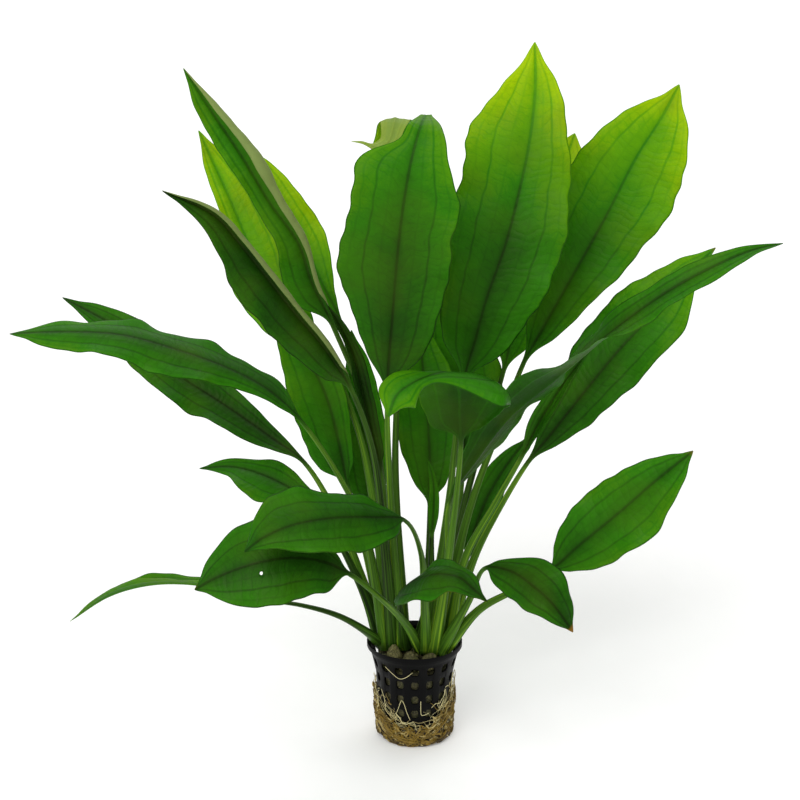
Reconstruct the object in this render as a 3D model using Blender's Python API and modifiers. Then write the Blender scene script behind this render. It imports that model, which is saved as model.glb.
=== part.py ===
"""Amazon sword plant growing in a net pot, as closed solids, one object per real piece.

Metres, +Z up, +X to the plant's right as seen from its front, the front towards -Y.
The origin is the centre of the flat underside of the root mat, where the pot rests.
"""
import math

import bmesh
import bpy
import numpy as np

for item in list(bpy.data.objects):
    bpy.data.objects.remove(item, do_unlink=True)

MM = 0.001

# ---- driving dimensions, in millimetres ------------------------------------
GAP = 0.35               # clear space kept between neighbouring pieces
POT_FLOOR_Z = 5.0        # underside of the pot's floor, above the resting plane
POT_RIM_Z = 56.0         # top of the rim
POT_FLOOR_R = 20.0       # outer radius of the wall at the floor
POT_TOP_R = 23.2         # outer radius of the wall just below the rim
RIM_R = 27.3             # outer radius of the rim
RIM_SKIRT = 3.8          # how far the rim's skirt hangs down
POT_WALL = 1.0           # thickness of the pot's wall, floor and rim
WINDOWS = 16             # openings round the wall
WINDOW_SHARE = 0.58      # part of each pitch that is open
WINDOW_ROWS = 5          # rows of openings
WINDOW_FIRST_Z = 8.7     # lower edge of the lowest row
WINDOW_H = 5.5           # height of an opening
WINDOW_STEP = 9.0        # from one row to the next
MAT_TOP_Z = 16.5         # the root mat climbs this far up the wall
MAT_R = 22.9             # outer radius of the root mat
PLUG_TOP_Z = 45.6        # top of the rock wool plug
CROWN_TOP_Z = 52.6       # top of both crowns
BLADE_THICK = 0.75       # thickness of a blade
STALK_ROUND = 0.75       # a stalk's thickness as a share of its width
BLADE_STEPS = (0.0, 0.07, 0.18, 0.32, 0.46, 0.60, 0.74, 0.86, 0.95, 1.0)
STALK_STEPS = 5

LEFT_CROWN = (-10.3, 3.4, 10.2)    # x, y, radius
RIGHT_CROWN = (10.0, -2.0, 10.4)

# lumps of wet growing medium on the plug: x, y, half sizes, turn in degrees
LUMPS = (
    ("lump_front_left", -11.6, -12.3, 4.6, 3.4, 6.2, 20),
    ("lump_front", -2.2, -15.4, 4.7, 3.8, 5.2, -10),
    ("lump_front_right", 8.4, -16.3, 4.6, 2.9, 4.8, 12),
    ("lump_back", 1.0, 15.6, 6.0, 4.4, 3.3, -8),
)

LEAVES = []


def leaf(name, base, stalk, blade, left, right, face, fold=(0, 0), curl=(0, 0)):
    """Note one leaf. base, stalk and blade are points along its middle line; left and
    right are the blade's half widths at even steps from its foot to its tip; face
    is the way its upper side looks, from foot to tip; fold and curl raise its two halves,
    in degrees."""
    LEAVES.append(dict(name=name, base=base, stalk=stalk, blade=blade, left=left,
                       right=right, face=face, fold=fold, curl=curl))


leaf("leaf_far_left_front", (-16.0, -3.6, 54), [(-28, -16, 130), (-41, -23, 163)],
     [(-60, -30, 196), (-75, -34, 214), (-95, -36, 227), (-123, -39, 239), (-154, -40, 248),
      (-186, -38, 249), (-213, -35, 247)],
     [5, 9, 15, 19, 16, 14, 10], [10, 13, 15, 15, 14, 12, 9],
     [(0, -4, 9), (1, -4, 9)], (-6, -6), (-10, -10))
leaf("leaf_far_left_back", (-18.9, 6.5, 54), [(-30, 9, 91), (-43, 18, 123)],
     [(-63, 32, 153), (-83, 43, 165), (-110, 54, 181), (-139, 62, 198), (-171, 70, 222),
      (-205, 78, 239)],
     [7, 12, 16, 17, 15, 12, 7], [4, 8, 12, 15, 14, 11, 7],
     [(0, -6, 8), (0, -6, 8)], (8, 8))
leaf("leaf_left_folded", (-12.3, -5.2, 54), [(-17, -19, 125), (-23, -30, 181)],
     [(-34, -40, 218), (-48, -49, 244), (-62, -54, 263), (-75, -59, 282), (-88, -62, 300),
      (-101, -65, 316), (-126, -68, 329)],
     [10, 15, 18, 19, 17, 12, 6], [6, 8, 9, 9, 9, 8, 5],
     [(0, -10, 2), (0, -10, 3)], (30, 20), (0, 175))
leaf("leaf_left_high_front", (-13.6, 1.2, 54), [(-22, 3, 177)],
     [(-45, 3, 242), (-56, 5, 265), (-63, 7, 286), (-78, 8, 308), (-93, 11, 333),
      (-109, 14, 357), (-123, 16, 379)],
     [12, 13, 9, 7, 8, 8, 6], [6, 9, 13, 17, 20, 14, 8],
     [(0, -10, 2), (0, -10, 2)], (10, 10), (0, 170))
leaf("leaf_left_high_middle", (-13.6, 6.0, 54), [(-24, 19, 137), (-33, 28, 177)],
     [(-53, 34, 221), (-70, 39, 236), (-85, 49, 256), (-95, 59, 277), (-105, 68, 299),
      (-114, 76, 317), (-123, 81, 336)],
     [12, 16, 18, 14, 9, 7, 5], [10, 14, 18, 20, 19, 15, 8],
     [(1, -10, 3), (1, -10, 3)], (8, 8))
leaf("leaf_left_high_back", (-10.2, 12.4, 54), [(-22, 27, 150)],
     [(-43, 49, 234), (-52, 54, 252), (-63, 65, 273), (-74, 73, 292), (-85, 81, 312),
      (-94, 86, 325)],
     [6, 11, 14, 15, 14, 10, 5], [3, 8, 12, 13, 12, 9, 5],
     [(2, -10, 3), (2, -10, 3)], (8, 8))
leaf("leaf_left_middle", (-17.1, 9.5, 54), [(-27, 14, 102)],
     [(-38, 18, 144), (-43, 21, 170), (-49, 24, 193), (-55, 26, 207), (-62, 26, 220),
      (-70, 27, 236), (-77, 28, 249)],
     [13, 18, 20, 20, 17, 13, 8], [5, 7, 9, 11, 12, 10, 6],
     [(1, -10, 2), (1, -10, 2)], (8, 8))
leaf("leaf_left_dark_young", (-7.6, 1.2, 54), [(-14, -5, 118)],
     [(-19, -9, 162), (-24, -13, 186), (-29, -15, 210), (-34, -15, 231), (-41, -13, 246),
      (-47, -10, 256)],
     [3, 4, 5, 5, 5, 4, 3], [3, 4, 5, 5, 5, 4, 3],
     [(5, -10, 2), (5, -10, 2)], (40, 40))
leaf("leaf_middle_front", (-8.2, -5.1, 54), [(-13, -16, 136)],
     [(-15, -32, 213), (-12, -38, 260), (-9, -40, 296), (-6, -39, 320), (-2, -36, 341),
      (2, -28, 354), (5, -12, 358), (7, 6, 354)],
     [5, 10, 15, 20, 25, 29, 29, 28, 27, 26, 25, 9, 6, 3, 2],
     [8, 15, 20, 23, 25, 26, 27, 27, 29, 26, 21, 17, 11, 4, 2],
     [(0, -10, 1), (0, -10, 1), (0, -10, 2), (0, -6, 8), (0, 1, 10)], (6, 6))
leaf("leaf_middle_hooked", (-6.4, 11.2, 54), [(-11, 35, 148)],
     [(-9, 59, 224), (-10, 70, 263), (-11, 77, 300), (-11, 79, 324), (-11, 76, 339),
      (-11, 69, 345), (-12, 61, 342), (-15, 55, 334), (-22, 49, 332), (-29, 45, 335),
      (-35, 42, 336)],
     [12, 18, 19, 17, 12, 8, 4], [12, 18, 19, 17, 12, 8, 4],
     [(0, -10, 2), (0, -10, 2), (0, -10, 2), (0, -10, 2), (0, -10, 2), (0, -10, 1),
      (0, 2, -9), (0, 6, -7), (0, 4, -9)], (8, 8))
leaf("leaf_centre_back_left", (-14.1, 11.7, 54), [(-18, 16, 84)],
     [(-23, 30, 113), (-27, 35, 141), (-30, 40, 176), (-32, 46, 204), (-36, 49, 227)],
     [6, 10, 12, 12, 11, 9, 5], [6, 10, 12, 12, 11, 9, 5],
     [(0, -10, 2), (0, -10, 2)], (10, 10))
leaf("leaf_left_drooping", (-18.5, -0.8, 54), [(-27, -11, 67), (-43, -16, 79), (-64, -22, 88)],
     [(-85, -24, 92), (-105, -27, 99), (-124, -28, 103), (-146, -27, 102), (-169, -24, 94),
      (-192, -22, 78)],
     [3, 5, 6, 7, 7, 6, 3], [3, 5, 6, 7, 7, 6, 3],
     [(0, 2, 10), (0, 2, 10)], (35, 35))
leaf("leaf_left_low_back", (-19.4, 2.9, 54), [(-27, 3, 80), (-41, 13, 108)],
     [(-55, 27, 129), (-72, 35, 137), (-88, 43, 142), (-106, 51, 144), (-126, 57, 141)],
     [8, 14, 18, 17, 13, 7, 3], [4, 8, 10, 9, 7, 5, 3],
     [(0, -6, 8), (0, -6, 8)], (10, 10))
leaf("leaf_front_low", (-4.4, -3.2, 54), [(-7, -19, 76)],
     [(-8, -38, 102), (0, -56, 117), (13, -70, 126), (23, -78, 127), (30, -84, 123),
      (37, -86, 117)],
     [8, 12, 14, 14, 12, 9, 5], [10, 16, 19, 19, 17, 12, 6],
     [(-2, -5, 9), (2, -4, 9)], (-8, -8))
leaf("leaf_top_middle", (8.2, -1.2, 54), [(19, -3, 143)],
     [(26, -5, 211), (32, -8, 235), (38, -8, 259), (48, -4, 288), (55, 3, 314),
      (61, 11, 342), (64, 22, 367), (64, 32, 391)],
     [17, 23, 29, 31, 32, 31, 17], [15, 25, 29, 29, 25, 19, 12],
     [(-1, -10, 1), (-1, -10, 1)], (6, 6))
leaf("leaf_top_right", (13.3, 0.2, 54), [(31, 14, 131), (48, 20, 179)],
     [(61, 24, 215), (71, 27, 233), (88, 30, 264), (104, 34, 293), (122, 38, 329),
      (135, 40, 350), (144, 43, 367)],
     [9, 17, 24, 30, 29, 25, 15], [8, 15, 21, 26, 30, 28, 18],
     [(-2, -10, 2), (-2, -10, 2)], (6, 6))
leaf("leaf_top_right_back", (14.2, 5.8, 54), [(30, 41, 128)],
     [(52, 65, 198), (57, 70, 219), (65, 81, 249), (76, 92, 282), (86, 102, 308),
      (94, 110, 330)],
     [10, 17, 21, 23, 24, 23, 17], [10, 17, 21, 23, 24, 23, 17],
     [(-2, -10, 2), (-2, -10, 2)], (8, 8))
leaf("leaf_far_right", (12.4, -5.2, 54), [(18, -12, 105)],
     [(19, -20, 149), (34, -25, 176), (50, -31, 200), (76, -40, 226), (105, -46, 254),
      (130, -50, 274), (153, -50, 287), (171, -47, 294), (188, -43, 297)],
     [8, 14, 17, 15, 9, 7, 5], [8, 14, 17, 16, 13, 11, 7],
     [(-5, 9, 2), (-5, 9, 3), (-5, 8, 4), (-5, 6, 5), (-4, 1, 7), (-1, -4, 8), (0, -6, 8),
      (0, -6, 8), (0, -6, 8)], (15, 15))
leaf("leaf_right_middle", (18.4, -0.8, 54), [(34, 7, 105), (48, 11, 133)],
     [(64, 16, 159), (76, 18, 174), (95, 20, 199), (114, 22, 223), (133, 24, 244),
      (151, 27, 265), (166, 30, 279)],
     [6, 12, 18, 22, 22, 18, 10], [7, 14, 18, 20, 21, 17, 7],
     [(-5, -9, 3), (-5, -9, 3)], (6, 6))
leaf("leaf_right_narrow", (18.4, -4.0, 54), [(28, -4, 108), (44, -5, 141)],
     [(59, -8, 171), (68, -12, 192), (77, -15, 209), (90, -19, 230)],
     [2, 4, 5, 5, 5, 3, 2], [2, 4, 5, 5, 5, 3, 2],
     [(-5, -9, 3), (-4, -9, 3)], (35, 35))
leaf("leaf_right_low", (16.9, -7.2, 54), [(36, -19, 84), (54, -26, 98)],
     [(73, -32, 112), (89, -38, 130), (107, -42, 148), (127, -46, 169), (146, -49, 187)],
     [9, 15, 18, 18, 16, 13, 7], [8, 16, 20, 21, 21, 17, 10],
     [(-4, -8, 4), (-4, -8, 4)], (6, 6))
leaf("leaf_right_drooping", (14.4, -9.8, 54), [(30, -27, 93)],
     [(38, -49, 121), (51, -62, 124), (62, -73, 120), (71, -81, 114), (82, -84, 99)],
     [4, 9, 15, 16, 15, 13, 9], [7, 10, 12, 13, 13, 9, 5],
     [(-2, -7, 7), (4, -7, 6)], (-6, -6))
leaf("leaf_hooded", (10.6, -10.4, 54), [(18, -22, 112)],
     [(24, -42, 190), (23, -47, 206), (22, -56, 223), (18, -67, 235), (9, -80, 238),
      (-2, -89, 236), (-10, -94, 231), (-14, -98, 221)],
     [14, 24, 34, 37, 10, 5, 12], [14, 19, 20, 18, 14, 13, 14],
     [(0, 10, 1), (0, 8, 5), (0, 2, 10), (-1, -4, 9), (-2, -9, 4)], (2, -4), (-95, -30))
leaf("leaf_left_low_front", (6.6, -8.4, 54), [(5, -31, 98), (3, -43, 127)],
     [(-6, -62, 153), (-22, -76, 160), (-43, -88, 164), (-63, -96, 163), (-77, -100, 158),
      (-87, -100, 150)],
     [10, 16, 20, 20, 18, 14, 7], [7, 14, 17, 19, 22, 24, 14],
     [(1, -6, 8), (-2, -6, 8)], (-6, -6))
leaf("leaf_left_low_holed", (2.6, -5.8, 55), [(-6, -32, 82), (-20, -57, 108)],
     [(-35, -70, 126), (-47, -76, 135), (-63, -80, 139), (-78, -82, 138), (-94, -82, 133),
      (-105, -82, 128), (-115, -82, 122)],
     [14, 17, 22, 25, 23, 19, 12], [6, 15, 20, 24, 25, 21, 11],
     [(1, -7, 7), (-2, -7, 7)], (-6, -6))
leaf("leaf_right_small", (17.4, 2.6, 54), [(23, 11, 75)],
     [(30, 20, 98), (35, 25, 116), (42, 30, 133), (52, 35, 149), (65, 39, 166)],
     [4, 6, 7, 8, 8, 7, 4], [4, 7, 8, 8, 7, 6, 4],
     [(-4, -9, 2), (-4, -9, 2)], (10, 10))
leaf("leaf_centre_young", (2.6, 1.6, 54), [(9, 14, 81)],
     [(10, 24, 112), (11, 27, 126), (11, 30, 140), (8, 30, 155)],
     [1, 2, 2.5, 2.5, 2, 1.5, 1], [1, 2, 2.5, 2.5, 2, 1.5, 1],
     [(0, -10, 2), (0, -10, 2)], (20, 20))
leaf("leaf_centre_back", (6.0, 6.2, 54), [(8, 24, 90)],
     [(9, 40, 124), (9, 49, 149), (7, 59, 182), (4, 70, 209), (2, 78, 231)],
     [9, 14, 17, 18, 17, 13, 7], [9, 14, 17, 18, 17, 13, 7],
     [(0, -10, 2), (0, -10, 2)], (10, 10))
leaf("leaf_centre_back_right", (10.3, 6.4, 54), [(21, 27, 89)],
     [(28, 49, 137), (29, 59, 164), (28, 70, 191), (22, 81, 222), (15, 92, 252)],
     [10, 17, 21, 23, 21, 16, 8], [10, 17, 21, 23, 21, 16, 8],
     [(0, -10, 2), (0, -10, 2)], (10, 10))


# ---- materials --------------------------------------------------------------
def material(name, rgb, roughness, metallic=0.0):
    made = bpy.data.materials.new(name)
    made.use_nodes = True
    shader = made.node_tree.nodes["Principled BSDF"]
    shader.inputs["Base Color"].default_value = (*rgb, 1.0)
    shader.inputs["Roughness"].default_value = roughness
    shader.inputs["Metallic"].default_value = metallic
    made.diffuse_color = (*rgb, 1.0)
    return made


BLACK_PLASTIC = material("black plastic", (0.02, 0.02, 0.025), 0.45)
ROOTS = material("matted roots", (0.55, 0.38, 0.12), 0.8)
WOOL = material("wet rock wool", (0.13, 0.11, 0.04), 0.9)
CROWN = material("crown tissue", (0.22, 0.25, 0.06), 0.6)
GREEN = material("leaf green", (0.06, 0.22, 0.02), 0.45)

plant = bpy.data.collections.new("potted_sword_plant")
bpy.context.scene.collection.children.link(plant)


def add_object(name, vertices, faces, made_of, smooth=False):
    """Put one mesh into the scene, sizes given in millimetres."""
    mesh = bpy.data.meshes.new(name)
    mesh.from_pydata([tuple(float(c) * MM for c in v) for v in vertices], [], faces)
    mesh.validate()
    mesh.materials.append(made_of)
    if smooth:
        mesh.shade_smooth()
    obj = bpy.data.objects.new(name, mesh)
    plant.objects.link(obj)
    return obj


def turned(name, profile, steps, made_of):
    """Turn a profile of (radius, height) round Z with the Screw modifier."""
    points = [(r, 0.0, z) for r, z in profile]
    mesh = bpy.data.meshes.new(name)
    mesh.from_pydata([tuple(c * MM for c in p) for p in points],
                     [(i, i + 1) for i in range(len(points) - 1)], [])
    mesh.materials.append(made_of)
    obj = bpy.data.objects.new(name, mesh)
    plant.objects.link(obj)
    screw = obj.modifiers.new("turn", "SCREW")
    screw.axis = "Z"
    screw.angle = 2 * math.pi
    screw.steps = steps
    screw.render_steps = steps
    screw.use_merge_vertices = True
    screw.merge_threshold = 0.00001
    return obj


# ---- net pot ----------------------------------------------------------------
def wall_radius(z):
    """Outer radius of the tapering wall at a height."""
    share = (z - POT_FLOOR_Z) / (POT_RIM_Z - POT_FLOOR_Z)
    return POT_FLOOR_R + (POT_TOP_R - POT_FLOOR_R) * share


def net_pot():
    """An open skin of floor, wall with window gaps, rim and skirt, given its thickness."""
    rings = [(POT_FLOOR_R * 0.5, POT_FLOOR_Z), (POT_FLOOR_R, POT_FLOOR_Z)]
    window_bands = []
    for row in range(WINDOW_ROWS):
        low = WINDOW_FIRST_Z + row * WINDOW_STEP
        window_bands.append(len(rings))
        rings.append((wall_radius(low), low))
        rings.append((wall_radius(low + WINDOW_H), low + WINDOW_H))
    under = POT_RIM_Z - POT_WALL
    rings.append((POT_TOP_R, under))
    rings.append((RIM_R - POT_WALL, under))
    rings.append((RIM_R - POT_WALL, POT_RIM_Z - RIM_SKIRT))
    pitch = 2 * math.pi / WINDOWS
    turns = []
    for index in range(WINDOWS):
        middle = -math.pi / 2 + index * pitch
        turns.append(middle - pitch * WINDOW_SHARE / 2)
        turns.append(middle + pitch * WINDOW_SHARE / 2)
    around = len(turns)
    vertices = [(0.0, 0.0, POT_FLOOR_Z)]
    for radius, z in rings:
        vertices += [(radius * math.cos(t), radius * math.sin(t), z) for t in turns]
    faces = []
    for j in range(around):
        faces.append((0, 1 + (j + 1) % around, 1 + j))
    for i in range(len(rings) - 1):
        for j in range(around):
            if i in window_bands and j % 2 == 0:
                continue
            a = 1 + i * around + j
            b = 1 + i * around + (j + 1) % around
            faces.append((a, b, b + around, a + around))
    pot = add_object("net_pot", vertices, faces, BLACK_PLASTIC)
    solid = pot.modifiers.new("wall", "SOLIDIFY")
    solid.thickness = POT_WALL * MM
    solid.offset = -1.0
    solid.use_even_offset = True
    return pot


net_pot()

# ---- root mat, plug, crowns, lumps -------------------------------------------
mat_inner = wall_radius(MAT_TOP_Z) + GAP
turned("root_mat",
       [(0.0, POT_FLOOR_Z - GAP), (POT_FLOOR_R + GAP - 0.4, POT_FLOOR_Z - GAP),
        (POT_FLOOR_R + GAP + 0.05, POT_FLOOR_Z), (mat_inner, MAT_TOP_Z),
        (mat_inner + 0.9, MAT_TOP_Z + 0.2), (MAT_R, MAT_TOP_Z - 4.5), (MAT_R, 5.5),
        (MAT_R - 1.1, 2.0), (MAT_R - 3.2, 0.0), (0.0, 0.0)],
       30, ROOTS)

plug_low = POT_FLOOR_Z + POT_WALL + GAP
turned("rock_wool_plug",
       [(0.0, PLUG_TOP_Z), (wall_radius(PLUG_TOP_Z) - POT_WALL - GAP - 2.0, PLUG_TOP_Z),
        (wall_radius(PLUG_TOP_Z) - POT_WALL - GAP - 0.2, PLUG_TOP_Z - 1.6),
        (wall_radius(plug_low) - POT_WALL - GAP - 0.2, plug_low), (0.0, plug_low)],
       30, WOOL)


def crown(name, x, y, radius):
    """A squat knobbly stump, wider below than above."""
    low = PLUG_TOP_Z + GAP
    rings = ((0.80, low), (1.0, low + 2.2), (0.97, low + 5.0), (0.84, CROWN_TOP_Z))
    count = 20
    vertices = []
    for share, z in rings:
        for j in range(count):
            turn = 2 * math.pi * j / count
            bump = 1.0 + 0.035 * math.sin(3 * turn + z) + 0.02 * math.sin(7 * turn)
            reach = radius * share * bump
            vertices.append((x + reach * math.cos(turn), y + reach * math.sin(turn), z))
    faces = [tuple(range(count - 1, -1, -1))]
    for i in range(len(rings) - 1):
        for j in range(count):
            k = (j + 1) % count
            faces.append((i * count + j, i * count + k, (i + 1) * count + k,
                          (i + 1) * count + j))
    top = (len(rings) - 1) * count
    faces.append(tuple(range(top, top + count)))
    return add_object(name, vertices, faces, CROWN)


crown("crown_left", *LEFT_CROWN)
crown("crown_right", *RIGHT_CROWN)

for name, x, y, sx, sy, sz, turn in LUMPS:
    shape = bmesh.new()
    bmesh.ops.create_icosphere(shape, subdivisions=2, radius=1.0)
    lump_mesh = bpy.data.meshes.new(name)
    shape.to_mesh(lump_mesh)
    shape.free()
    angle = math.radians(turn)
    for vertex in lump_mesh.vertices:
        px, py, pz = vertex.co
        swell = 1.0 + 0.06 * math.sin(4 * px + x) * math.cos(3 * py + y)
        px, py, pz = px * sx * swell, py * sy * swell, pz * sz
        vertex.co = ((x + px * math.cos(angle) - py * math.sin(angle)) * MM,
                     (y + px * math.sin(angle) + py * math.cos(angle)) * MM,
                     (PLUG_TOP_Z + GAP + sz + pz) * MM)
    lump_mesh.materials.append(WOOL)
    plant.objects.link(bpy.data.objects.new(name, lump_mesh))


# ---- leaves -------------------------------------------------------------------
def smooth_line(points, count=601):
    """A smooth curve through the points, with its parameter at each sample and point."""
    p = np.asarray(points, float)
    step = np.sqrt(np.linalg.norm(np.diff(p, axis=0), axis=1))
    t = np.concatenate([[0.0], np.cumsum(step)])
    slope = (p[1:] - p[:-1]) / step[:, None]
    pull = np.empty_like(p)
    pull[1:-1] = (slope[:-1] * step[1:, None] + slope[1:] * step[:-1, None]) \
        / (step[:-1] + step[1:])[:, None]
    pull[0], pull[-1] = slope[0], slope[-1]
    u = np.linspace(0.0, t[-1], count)
    i = np.clip(np.searchsorted(t, u, side="right") - 1, 0, len(p) - 2)
    h = step[i][:, None]
    x = ((u - t[i]) / step[i])[:, None]
    line = ((2 * x**3 - 3 * x**2 + 1) * p[i] + (x**3 - 2 * x**2 + x) * h * pull[i]
            + (3 * x**2 - 2 * x**3) * p[i + 1] + (x**3 - x**2) * h * pull[i + 1])
    return line, u, t


def blend(k, values):
    """Values given at even steps, read smoothly at k from 0 to 1."""
    v = np.asarray(values, float)
    m = np.gradient(v)
    x = np.clip(k, 0, 1) * (len(v) - 1)
    i = np.clip(np.floor(x).astype(int), 0, len(v) - 2)
    f = x - i
    return ((2 * f**3 - 3 * f**2 + 1) * v[i] + (f**3 - 2 * f**2 + f) * m[i]
            + (3 * f**2 - 2 * f**3) * v[i + 1] + (f**3 - f**2) * m[i + 1])


def leaf_frames(spec, stalk_steps, blade_steps):
    """Points along the middle line with the across and upper directions at each."""
    line, u, t = smooth_line([spec["base"]] + spec["stalk"] + spec["blade"])
    arc = np.concatenate([[0.0], np.cumsum(np.linalg.norm(np.diff(line, axis=0), axis=1))])
    foot, end = np.interp(t[1 + len(spec["stalk"])], u, arc), arc[-1]
    steps = np.asarray(blade_steps, float)
    at = np.concatenate([np.linspace(0, 1, stalk_steps + 1)[:-1] * foot,
                         foot + steps * (end - foot)])
    k = np.concatenate([np.linspace(-1, 0, stalk_steps + 1)[:-1], steps])

    def along(s):
        return np.stack([np.interp(s, arc, line[:, c]) for c in range(3)], 1)

    point, reach = along(at), 0.015 * end
    ahead = along(np.minimum(at + reach, end)) - along(np.maximum(at - reach, 0.0))
    ahead /= np.linalg.norm(ahead, axis=1)[:, None]
    face = np.asarray(spec["face"], float)
    face /= np.linalg.norm(face, axis=1)[:, None]
    spot = np.clip(k, 0, 1) * (len(face) - 1)
    upper = np.stack([np.interp(spot, np.arange(len(face)), face[:, c]) for c in range(3)], 1)
    upper -= (upper * ahead).sum(1)[:, None] * ahead
    upper /= np.linalg.norm(upper, axis=1)[:, None]
    return point, np.cross(ahead, upper), upper, k


def half_sheet(spec, side, point, across, upper, k, columns):
    """One half of the blade's middle surface, from the middle line outwards."""
    stalk = np.interp(k, [-1, -0.85, -0.4, 0, 1], [1.85, 1.8, 1.5, 1.2, 0.3])
    wide = np.maximum(blend(k, [0] + list(spec["right" if side else "left"]) + [0]), 0)
    wide = wide * (k > 0) + stalk
    middle = (np.arange(columns) + 0.5) / columns
    angle = np.radians(spec["fold"][side] + spec["curl"][side] * middle**2)
    angle = angle[None] * np.clip(k / 0.12, 0, 1)[:, None]
    out = np.cumsum(np.cos(angle), 1) / columns * (1 if side else -1)
    rise = np.cumsum(np.sin(angle), 1) / columns
    return (point[:, None] + wide[:, None, None]
            * (out[..., None] * across[:, None] + rise[..., None] * upper[:, None])), wide


def leaf_solid(spec):
    """Loft eight-sided sections from the stalk's foot to the blade's tip."""
    point, across, upper, k = leaf_frames(spec, STALK_STEPS, BLADE_STEPS)
    left, wide = half_sheet(spec, 0, point, across, upper, k, 2)
    right, _ = half_sheet(spec, 1, point, across, upper, k, 2)
    stalk = np.interp(k, [-1, -0.85, -0.4, 0, 1], [1.85, 1.8, 1.5, 1.2, 0.3])
    flat = np.clip(k / 0.10, 0, 1)
    middle_half = stalk * STALK_ROUND * (1 - flat) + (BLADE_THICK * 0.5 + 0.35) * flat
    side_half = stalk * STALK_ROUND * 0.8 * (1 - flat) + BLADE_THICK * 0.5 * flat
    middle_half *= np.where(k > 0.9, 0.6, 1.0)

    def lift(surface, near, amount):
        """Move points along the surface's own normal at that spot."""
        span = surface - near
        span /= np.linalg.norm(span, axis=1)[:, None]
        ahead = np.cross(upper, across)
        normal = np.cross(ahead, span)
        sign = np.sign((normal * upper).sum(1))
        sign[sign == 0] = 1.0
        return normal * sign[:, None] * amount[:, None]

    rise_l = lift(left[:, 0], point, side_half)
    rise_r = lift(right[:, 0], point, side_half)
    mid = upper * middle_half[:, None]
    ring = [left[:, 1], left[:, 0] + rise_l, point + mid, right[:, 0] + rise_r,
            right[:, 1], right[:, 0] - rise_r, point - mid, left[:, 0] - rise_l]
    rings = np.stack(ring, 1)
    count, around = rings.shape[:2]
    faces = [tuple(range(around - 1, -1, -1))]
    twin = (8, 7, 6, 5, 4, 3, 2, 1, 0)   # the point below or above each one round the ring
    for i in range(count - 1):
        here, there = rings[i], rings[i + 1]
        for j in range(4):
            down = (here[j] - there[j + 1]) @ (here[j] - there[j + 1])
            up = (here[j + 1] - there[j]) @ (here[j + 1] - there[j])
            for upper_side, a, b in ((True, j, j + 1), (False, twin[j], twin[j + 1])):
                p, q = i * around + a % around, i * around + b % around
                r, t = p + around, q + around
                # both faces of the blade split the same way, each wound outwards
                pair = [(p, t, r), (p, q, t)] if down <= up else [(p, q, r), (q, t, r)]
                faces += pair if upper_side else [one[::-1] for one in pair]
    last = (count - 1) * around
    faces.append(tuple(range(last, last + around)))
    obj = add_object(spec["name"], rings.reshape(-1, 3), faces, GREEN)
    return obj


for one in LEAVES:
    leaf_solid(one)
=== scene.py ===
"""Amazon sword plant in a net pot: every visible surface and finish, built round its CAD frame."""

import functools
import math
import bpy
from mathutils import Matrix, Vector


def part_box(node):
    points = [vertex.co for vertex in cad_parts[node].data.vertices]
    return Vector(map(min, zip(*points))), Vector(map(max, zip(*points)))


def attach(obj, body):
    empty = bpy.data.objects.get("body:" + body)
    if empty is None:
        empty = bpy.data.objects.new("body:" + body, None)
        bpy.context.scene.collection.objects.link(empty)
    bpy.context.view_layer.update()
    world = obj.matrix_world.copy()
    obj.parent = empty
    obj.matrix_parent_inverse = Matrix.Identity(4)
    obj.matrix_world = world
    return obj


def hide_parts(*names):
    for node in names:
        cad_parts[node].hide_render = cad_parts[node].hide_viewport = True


bl_info = {
    "name": "Potted Sword Plant",
    "version": (1, 0, 0),
    "blender": (4, 5, 0),
    "location": "View3D > Sidebar > Sword Plant",
    "description": "Grows the leaves, crowns, roots and net pot of an amazon sword plant",
    "category": "Add Mesh",
}

import bpy
import numpy as np
from bpy.props import FloatProperty, FloatVectorProperty, IntProperty, PointerProperty
from mathutils import Euler

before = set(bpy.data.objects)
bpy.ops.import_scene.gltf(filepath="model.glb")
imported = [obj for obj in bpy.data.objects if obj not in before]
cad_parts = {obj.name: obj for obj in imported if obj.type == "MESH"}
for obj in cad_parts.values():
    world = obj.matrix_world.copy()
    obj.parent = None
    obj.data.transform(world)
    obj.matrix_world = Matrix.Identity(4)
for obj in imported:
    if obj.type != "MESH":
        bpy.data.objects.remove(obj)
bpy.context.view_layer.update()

MM = 0.001
BODY = "root"
FULL_TURN = 2 * math.pi


# ---- small tools ----
def linear(hex_colour):
    """Turn an sRGB hex colour into linear red, green, blue and one for alpha."""
    parts = [int(hex_colour[i:i + 2], 16) / 255 for i in (1, 3, 5)]
    return tuple(c / 12.92 if c <= 0.04045 else ((c + 0.055) / 1.055) ** 2.4
                 for c in parts) + (1.0,)


def cad_box_mm(name):
    """Lowest and highest corner of a CAD node, in millimetres."""
    low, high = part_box(name)
    return np.array(low) / MM, np.array(high) / MM


def smooth_step(value, low, high):
    """Zero below low, one above high, and an even S curve between."""
    x = np.clip((value - low) / (high - low), 0, 1)
    return x * x * (3 - 2 * x)


def ripple(points, size, seed, octaves=3):
    """Smooth lumpy noise from -1 to 1: a sum of sine waves in random directions, each
    octave half as large and half as strong, at points in millimetres."""
    chance = np.random.default_rng(seed)
    total, weight = np.zeros(points.shape[:-1]), 0.0
    for octave in range(octaves):
        for _ in range(4):
            way = chance.normal(size=3)
            way /= np.linalg.norm(way)
            start = chance.uniform(0, FULL_TURN)
            total += np.sin(points @ way * FULL_TURN / size * 2**octave + start) / 2**octave
            weight += 0.5 / 2**octave
    return total / weight


def around_z(radius, turn, height):
    """Points at a radius, a turn about Z in radians and a height."""
    radius, turn, height = np.broadcast_arrays(radius, turn, height)
    return np.stack([radius * np.cos(turn), radius * np.sin(turn), height], -1)


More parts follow.
